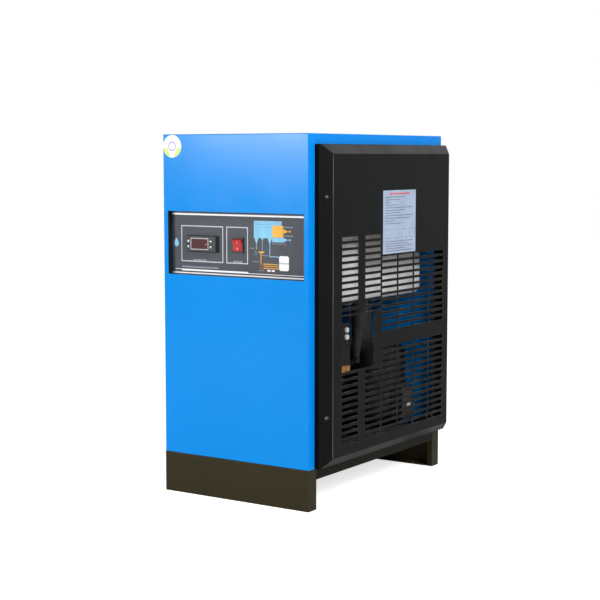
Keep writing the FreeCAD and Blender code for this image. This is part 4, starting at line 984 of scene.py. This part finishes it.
def make_key_marks():
    """Small pale signs on the four keys: two arrowheads, a bar and a box."""
    for place, foot, top, down, up in (("upper_left", 2.5, 0.3, 1.7, 2.1),
                                       ("lower_left", 0.3, 2.5, 2.1, 1.7),
                                       ("upper_right", 2.1, 2.1, 1.3, 1.3),
                                       ("lower_right", 0, 0, 0, 0)):
        low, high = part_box("controller_key_" + place)
        x, z, y = (low.x + high.x) / 2 / MM + 0.6, (low.z + high.z) / 2 / MM, low.y
        piece = open_print("key_mark_" + place)
        if foot:
            add_slant([(x - foot, z - down), (x + foot, z - down), (x + top, z + up),
                       (x - top, z + up)], y)
        else:
            for bar in frame_bars(x - 2.0, x + 2.0, z - 1.9, z + 1.9, 1.1):
                add_panel(*bar, y)
        film(piece, 0.04, "black_plastic", "key_print", "controller_key_" + place)


def make_rocker_marks():
    """The bar and the ring printed on the two halves of the rocker."""
    face, hinge_z, tilt = -277.1 * MM, 532.2 * MM, radians(16.15)
    bar = open_print("rocker_bar_mark")
    add_panel(0.2, 1.6, 535.6, 539.2, face)
    put_down()
    hinge = Matrix.Translation((0, face, hinge_z))
    bar.matrix_world = hinge @ Matrix.Rotation(tilt, 4, "X") @ hinge.inverted()
    settle(bar)
    film(bar, 0.06, "switch_red", "rocker_print", "rocker")
    ring = disc("rocker_ring_mark", 0.9, face, 524.9, 2.3, 32)
    leave_rim(ring, 0.9)
    film(ring, 0.06, "switch_red", "rocker_print", "rocker")


make_lens_frame()
make_controller_case()
make_lens_lamp()
make_key_marks()
make_rocker_marks()


def make_opening_seals():
    """Black foam strips stuck round the side openings, under the covers."""
    for side, side_name in ((1, "right"), (-1, "left")):
        seal = block("opening_seal_" + side_name, mm(183.0 * side, -262, 92),
                     mm(185.5 * side, 260, 734))
        outward(seal)
        work_on(seal)
        choose_faces(seal, lambda at, way: abs(way.x) > 0.9)
        set_in(4)
        cut_away()
        choose_edges(seal, lambda edge: edge.is_boundary)
        bpy.ops.mesh.bridge_edge_loops()
        # bring the inner edge to that of the opening
        shape = bmesh.from_edit_mesh(seal.data)
        for vert in shape.verts:
            if -260 * MM < vert.co.y < 258 * MM and 94 * MM < vert.co.z < 732 * MM:
                vert.co.y = -250 * MM if vert.co.y < 0 else 232 * MM
                vert.co.z = 117 * MM if vert.co.z < 0.4 else 728 * MM
        bmesh.update_edit_mesh(seal.data)
        outward(seal)
        trim(seal, 0.5, 2, 30.0)
        fit(seal, "foam_black")


make_opening_seals()


def make_panel_screws():
    """Pan-head screws round the rear panel's edge."""
    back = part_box("rear_panel")[1].y
    put_down()
    bpy.ops.mesh.primitive_cylinder_add(vertices=28, radius=3.6 * MM, depth=2.0 * MM,
                                        location=(0, back + 0.9 * MM, 0),
                                        rotation=FACING_FRONT)
    pattern = named("panel_screw")
    settle(pattern)
    work_on(pattern)
    choose_facing(pattern, 0, 1, 0)
    round_off(1.0, 4)
    cut_cross(pattern, (-0.35 * MM, back + 0.9 * MM, -0.35 * MM),
              (0.35 * MM, back + 3.0 * MM, 0.35 * MM), 2)
    places = [(x, z) for x in (-172, 172) for z in (165, 360, 555, 735)]
    places += [(0, 748), (-90, 95), (40, 95)]
    for index, (x, z) in enumerate(places):
        seat = Matrix.Translation((x * MM, 0, z * MM)) @ Matrix.Rotation(0.9 * index, 4, "Y")
        fit(another(pattern, "rear_panel_screw_%02d" % (index + 1), seat), "zinc_steel")
    bpy.data.objects.remove(pattern)


make_panel_screws()


# ---- inside pieces

def make_compressor():
    """Welded two-half shell with a rolled seam."""
    low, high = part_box("compressor_shell")
    centre = (low + high) / 2
    radius, seam_radius, seam_half = 78, 81, 2.5 * MM
    shell = round_bar("compressor_welded_shell", Vector((centre.x, centre.y, low.z)),
                      Vector((centre.x, centre.y, high.z)), radius, 96)
    work_on(shell)
    choose_edges(shell, lambda edge: len(edge.link_faces) == 2
                 and edge.calc_face_angle(0.0) > radians(60))
    round_off(33, 12, profile=0.5)
    for level in (centre.z - seam_half, centre.z + seam_half):
        choose_all()
        bpy.ops.mesh.bisect(plane_co=(centre.x, centre.y, level), plane_no=(0, 0, 1))
    choose_faces(shell, lambda at, way: abs(at.z - centre.z) < 2.4 * MM and abs(way.z) < 0.3)
    bpy.ops.mesh.extrude_region_move()
    resize((seam_radius / radius, seam_radius / radius, 1), centre)
    trim(shell, 0.9, 3, 50.0, 50.0)
    fit(shell, "compressor_black")
    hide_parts("compressor_shell")


def make_drain_neck():
    """The foam-wrapped neck: a wide sleeve over a slimmer one that leans to the front."""
    x, y, foot, top = 103, 43, 334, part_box("drain_neck")[1].z
    sleeve = round_bar("drain_neck_foam", mm(x, y, foot), mm(x, y, top / MM), 17)
    work_on(sleeve)
    choose_facing(sleeve, 0, 0, -1)
    set_in(2.0)
    move(0, 0, -2.0)
    trim(sleeve, 1.2, 3, 25.0, 50.0)
    tail = round_bar("drain_neck_tail", mm(102, 28, 260), mm(102, 28, 278), 7.4)
    work_on(tail)
    choose_facing(tail, 0, 0, 1)
    push(1.0, 9.5, 58)
    resize((1.78, 1.78, 1), mm(103, 37.5, 336))
    trim(tail, 1.6, 3, 25.0, 50.0)
    neck = joined("drain_neck_foam", [sleeve, tail])
    fit(neck, "foam_black")
    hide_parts("drain_neck")


def make_drain_pipe():
    """The pipe from the neck's foot across to the drain valve."""
    put_down()
    bpy.ops.curve.primitive_nurbs_path_add(location=(0, 0, 0))
    pipe = named("drain_pipe_run")
    spline = pipe.data.splines[0]
    route = ((102, 28, 272), (104, 20, 267), (127, -42, 268), (150, -84, 268), (150, -107, 268))
    for point, place in zip(spline.points, route):
        point.co = (*(Vector(place) * MM), 1)
    spline.order_u = 3
    spline.resolution_u = 16
    pipe.data.bevel_depth = 4.9 * MM
    pipe.data.bevel_resolution = 5
    pipe.data.use_fill_caps = True
    bpy.ops.object.convert(target="MESH")
    bpy.ops.object.shade_smooth_by_angle(angle=radians(50))
    settle(pipe)
    fit(pipe, "coil_black")
    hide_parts("drain_pipe")


def make_suction_sleeve():
    """Thick foam round the suction line, from the compressor's crown to the exchanger."""
    low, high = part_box("suction_line")
    middle = (low + high) / 2
    sleeve = round_bar("suction_line_foam", Vector((middle.x, middle.y, low.z - 6 * MM)),
                       Vector((middle.x, middle.y, high.z)), 23, 64)
    work_on(sleeve)
    choose_faces(sleeve, lambda at, way: abs(way.z) > 0.9)
    set_in(9)
    trim(sleeve, 2.0, 3, 25.0, 50.0)
    fit(sleeve, "foam_black")
    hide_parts("suction_line")


def make_condenser():
    """A pack of rippled fins on eight through tubes."""
    low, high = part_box("condenser_core")
    middle = (low + high) / 2
    pitch, ripple, edge_gap = 2.6 * MM, 0.35 * MM, 0.4 * MM
    count = int((high.y - low.y - 2 * MM) / pitch)
    put_down()
    bpy.ops.mesh.primitive_grid_add(x_subdivisions=1, y_subdivisions=16, size=1,
                                    location=(middle.x, middle.y - (count - 1) * pitch / 2,
                                              middle.z), rotation=FACING_FRONT)
    fins = named("condenser_fins")
    fins.scale = (high.x - low.x - edge_gap, high.z - low.z - edge_gap, 1)
    settle(fins)
    work_on(fins)
    shape = bmesh.from_edit_mesh(fins.data)
    levels = sorted({round(vert.co.z, 5) for vert in shape.verts})
    for vert in shape.verts:
        vert.co.y += ripple if levels.index(round(vert.co.z, 5)) % 2 else -ripple
    bmesh.update_edit_mesh(fins.data)
    modify(fins, "SOLIDIFY", thickness=0.2 * MM, offset=1.0)
    modify(fins, "ARRAY", count=count, use_relative_offset=False, use_constant_offset=True,
           constant_offset_displace=(0, pitch, 0))
    outward(fins)
    fit(fins, "fin_aluminium")
    tubes = []
    tube_count, end_gap = 8, 14 * MM
    for row in range(tube_count):
        level = low.z + end_gap + row * (high.z - low.z - 2 * end_gap) / (tube_count - 1)
        tube = round_bar("condenser_tube", Vector((middle.x, low.y, level)),
                         Vector((middle.x, high.y, level)), 5, 20)
        work_on(tube)
        choose_faces(tube, lambda at, way: abs(way.y) > 0.9)
        set_in(1.0)
        cut_away()
        trim(tube, 0.0)
        tubes.append(tube)
    tubes = joined("condenser_tubes", tubes)
    fit(tubes, "copper")
    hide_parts("condenser_core")
    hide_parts("condenser_core")


def make_timer_scale():
    """White tick marks round the timer's two dials."""
    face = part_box("drain_timer")[1].x
    ticks = open_print("timer_scale")
    centre_y, reach, size = -122.0, 6.9, 0.9
    for level in (353.0, 338.0):
        for step in range(9):
            angle = radians(-45 + step * 33.75)
            add_patch((face, (centre_y + reach * cos(angle)) * MM,
                       (level + reach * sin(angle)) * MM), size * MM, size * MM, True)
    film(ticks, 0.05, "coil_black", "print_white")


def make_pipe_nut():
    """The brass compression nut that joins the drain pipe to the valve."""
    x, z = 150, 268
    nut = round_bar("drain_pipe_nut", mm(x, -107, z), mm(x, -91, z), 11, 6)
    work_on(nut)
    choose_facing(nut, 0, 1, 0)
    set_in(2.6)
    push(0, 3, 0)
    resize((0.86, 1, 0.86), mm(x, -88, z))
    trim(nut, 0.7, 2, 25.0)
    fit(nut, "brass")


make_compressor()
make_drain_neck()
make_drain_pipe()
make_suction_sleeve()
make_condenser()
make_timer_scale()
make_pipe_nut()
side_bars("terminal_cover_tag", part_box("compressor_terminal_cover")[1].x,
          [(126, 142, 156.5, 166.0)], "sticker_white", 0.1, "terminal_grey")


# ---- finished sheet and parts

# node, piece name, edge round (mm), steps, slot
FINISHED = [
    ("cabinet_shell", "cabinet_shell_coated", 0.25, 2, "cabinet_blue"),
    ("front_panel", "front_panel_coated", 0.25, 2, "cabinet_blue"),
    ("base_front_channel", "base_front_coated", 0.5, 2, "base_black"),
    ("base_rear_channel", "base_rear_coated", 0.5, 2, "base_black"),
    ("base_side_rails", "base_rails_coated", 0.4, 2, "base_black"),
    ("control_tray", "control_tray_coated", 0.4, 2, "panel_grey"),
    ("rocker_frame", "rocker_frame_moulded", 0.5, 3, "switch_black"),
    ("exchanger", "exchanger_foamed", 3.0, 4, "insulation_white"),
    ("exchanger_rack", "exchanger_rack_bent", 0.4, 1, "zinc_steel"),
    ("compressor_terminal_cover", "terminal_cover_moulded", 1.5, 3, "terminal_grey"),
    ("fan_shroud", "fan_shroud_pressed", 0.4, 1, "zinc_steel"),
    ("fan_bracket", "fan_bracket_bent", 0.4, 1, "zinc_steel"),
    ("fan_motor", "fan_motor_turned", 1.5, 3, "fan_black"),
    ("fan_rotor", "fan_rotor_moulded", 0.3, 2, "fan_black"),
    ("drain_coil", "drain_coil_moulded", 1.5, 3, "coil_black"),
    ("drain_timer", "drain_timer_moulded", 1.5, 3, "coil_black"),
    ("drain_valve", "drain_valve_machined", 0.5, 2, "brass"),
    ("rocker", "rocker_moulded", 0.5, 3, "switch_red"),
    ("run_capacitor", "run_capacitor_can", 1.0, 3, "fin_aluminium"),
    ("terminal_block", "terminal_block_moulded", 0.4, 2, "block_white"),
    ("drain_bulkhead", "drain_bulkhead_turned", 0.4, 2, "brass"),
    ("cable_gland", "cable_gland_moulded", 0.4, 2, "black_plastic"),
]
# parts whose paint differs from the rest of their slot (the side rails' darker paint is painted
# shade), and parts that move
OWN_FINISH = {"cabinet_shell": "shell_blue", "base_side_rails": "rail_black_painted_shade"}
MOVING = ("fan_rotor", "rocker")

for node, piece_name, width, steps, slot in FINISHED:
    piece = copy_of(node, piece_name)
    trim(piece, width, steps, 34.0)
    fit(piece, slot, OWN_FINISH.get(node), node if node in MOVING else "cabinet")
    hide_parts(node)

# the nodes that keep their own shape take their finish here
KEPT = {
    "cabinet_blue": ("rear_panel",),
    "base_black": ("floor_pan",),
    "overlay_grey": ("control_overlay",),
    "black_plastic": ("controller_key_upper_left", "controller_key_lower_left",
                      "controller_key_upper_right", "controller_key_lower_right"),
    "lens_red": ("controller_lens",),
    "zinc_steel": ("cover_clips", "compressor_nuts", "condenser_end_plates", "electrical_plate",
                   "port_locknuts", "fan_pressure_switch"),
    "socket_thread": ("air_inlet_socket", "air_outlet_socket"),
    "copper": ("condenser_return_bends", "discharge_line", "liquid_line", "filter_drier",
               "capillary_tube", "bypass_line", "bypass_valve"),
    "compressor_black": ("compressor_feet",),
    "mount_rubber": ("compressor_grommets",),
    "dial_white": ("interval_dial", "duration_dial"),
    "terminal_grey": ("test_button",),
    "hose_blue": ("drain_hose",),
}
for finish_name, kept in KEPT.items():
    for node_name in kept:
        for material_slot in nodes[node_name].material_slots:
            material_slot.material = FINISH[finish_name]


# ---- floor and light

def seen_rays(graph):
    """The camera's own rays, and every ray that it sees: straight, mirrored or let through."""
    rays = graph.node("ShaderNodeLightPath").outputs
    seen = graph.sums("MAXIMUM", rays["Is Camera Ray"], rays["Is Glossy Ray"])
    return rays["Is Camera Ray"], graph.sums("MAXIMUM", seen, rays["Is Transmission Ray"])


def make_floor():
    """A white floor that shines enough to be lost in the background, but keeps soft shadows."""
    put_down()
    bpy.ops.mesh.primitive_plane_add(size=14, location=(0, 0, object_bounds()[0][2]))
    floor = named("studio_floor")
    settle(floor)
    made, graph, shader = blank_material("floor_white")
    shader["Base Color"].default_value = (0.86, 0.86, 0.86, 1)
    shader["Roughness"].default_value = 0.7
    shader["Emission Color"].default_value = (1, 1, 1, 1)
    camera_ray, seen = seen_rays(graph)
    graph.feed(shader["Emission Strength"],
               graph.spread(camera_ray, 0.0, 1.0, graph.sums("MULTIPLY", seen, 0.3), 0.72))
    floor.data.materials.append(made)


def make_world():
    """White surroundings that light the part less than they show."""
    world = bpy.data.worlds.new("studio")
    world.use_nodes = True
    graph = Graph(world.node_tree)
    ground = graph.tree.nodes["Background"].inputs
    ground["Color"].default_value = (1, 1, 1, 1)
    graph.feed(ground["Strength"], graph.spread(seen_rays(graph)[1], 0.0, 1.0, 0.24, 1.0))
    bpy.context.scene.world = world


def hang_light(name, place, aim, width, height, watts):
    lamp = bpy.data.lights.new(name, "AREA")
    lamp.shape = "RECTANGLE"
    lamp.size = width
    lamp.size_y = height
    lamp.energy = watts
    made = bpy.data.objects.new(name, lamp)
    made.location = place
    made.rotation_euler = (Vector(aim) - Vector(place)).to_track_quat("-Z", "Y").to_euler()
    bpy.context.scene.collection.objects.link(made)


make_floor()
make_world()
hang_light("front_softbox", (-1.48, -2.95, 0.92), (0.0, -0.2, 0.5), 1.1, 0.18, 68)
hang_light("side_softbox", (2.6, -1.0, 1.85), (0.2, 0.0, 0.45), 1.1, 1.1, 74)
hang_light("back_softbox", (0.5, 3.0, 2.6), (0.2, 0.0, 0.5), 1.4, 1.0, 10)

bpy.context.scene.view_settings.view_transform = "Standard"
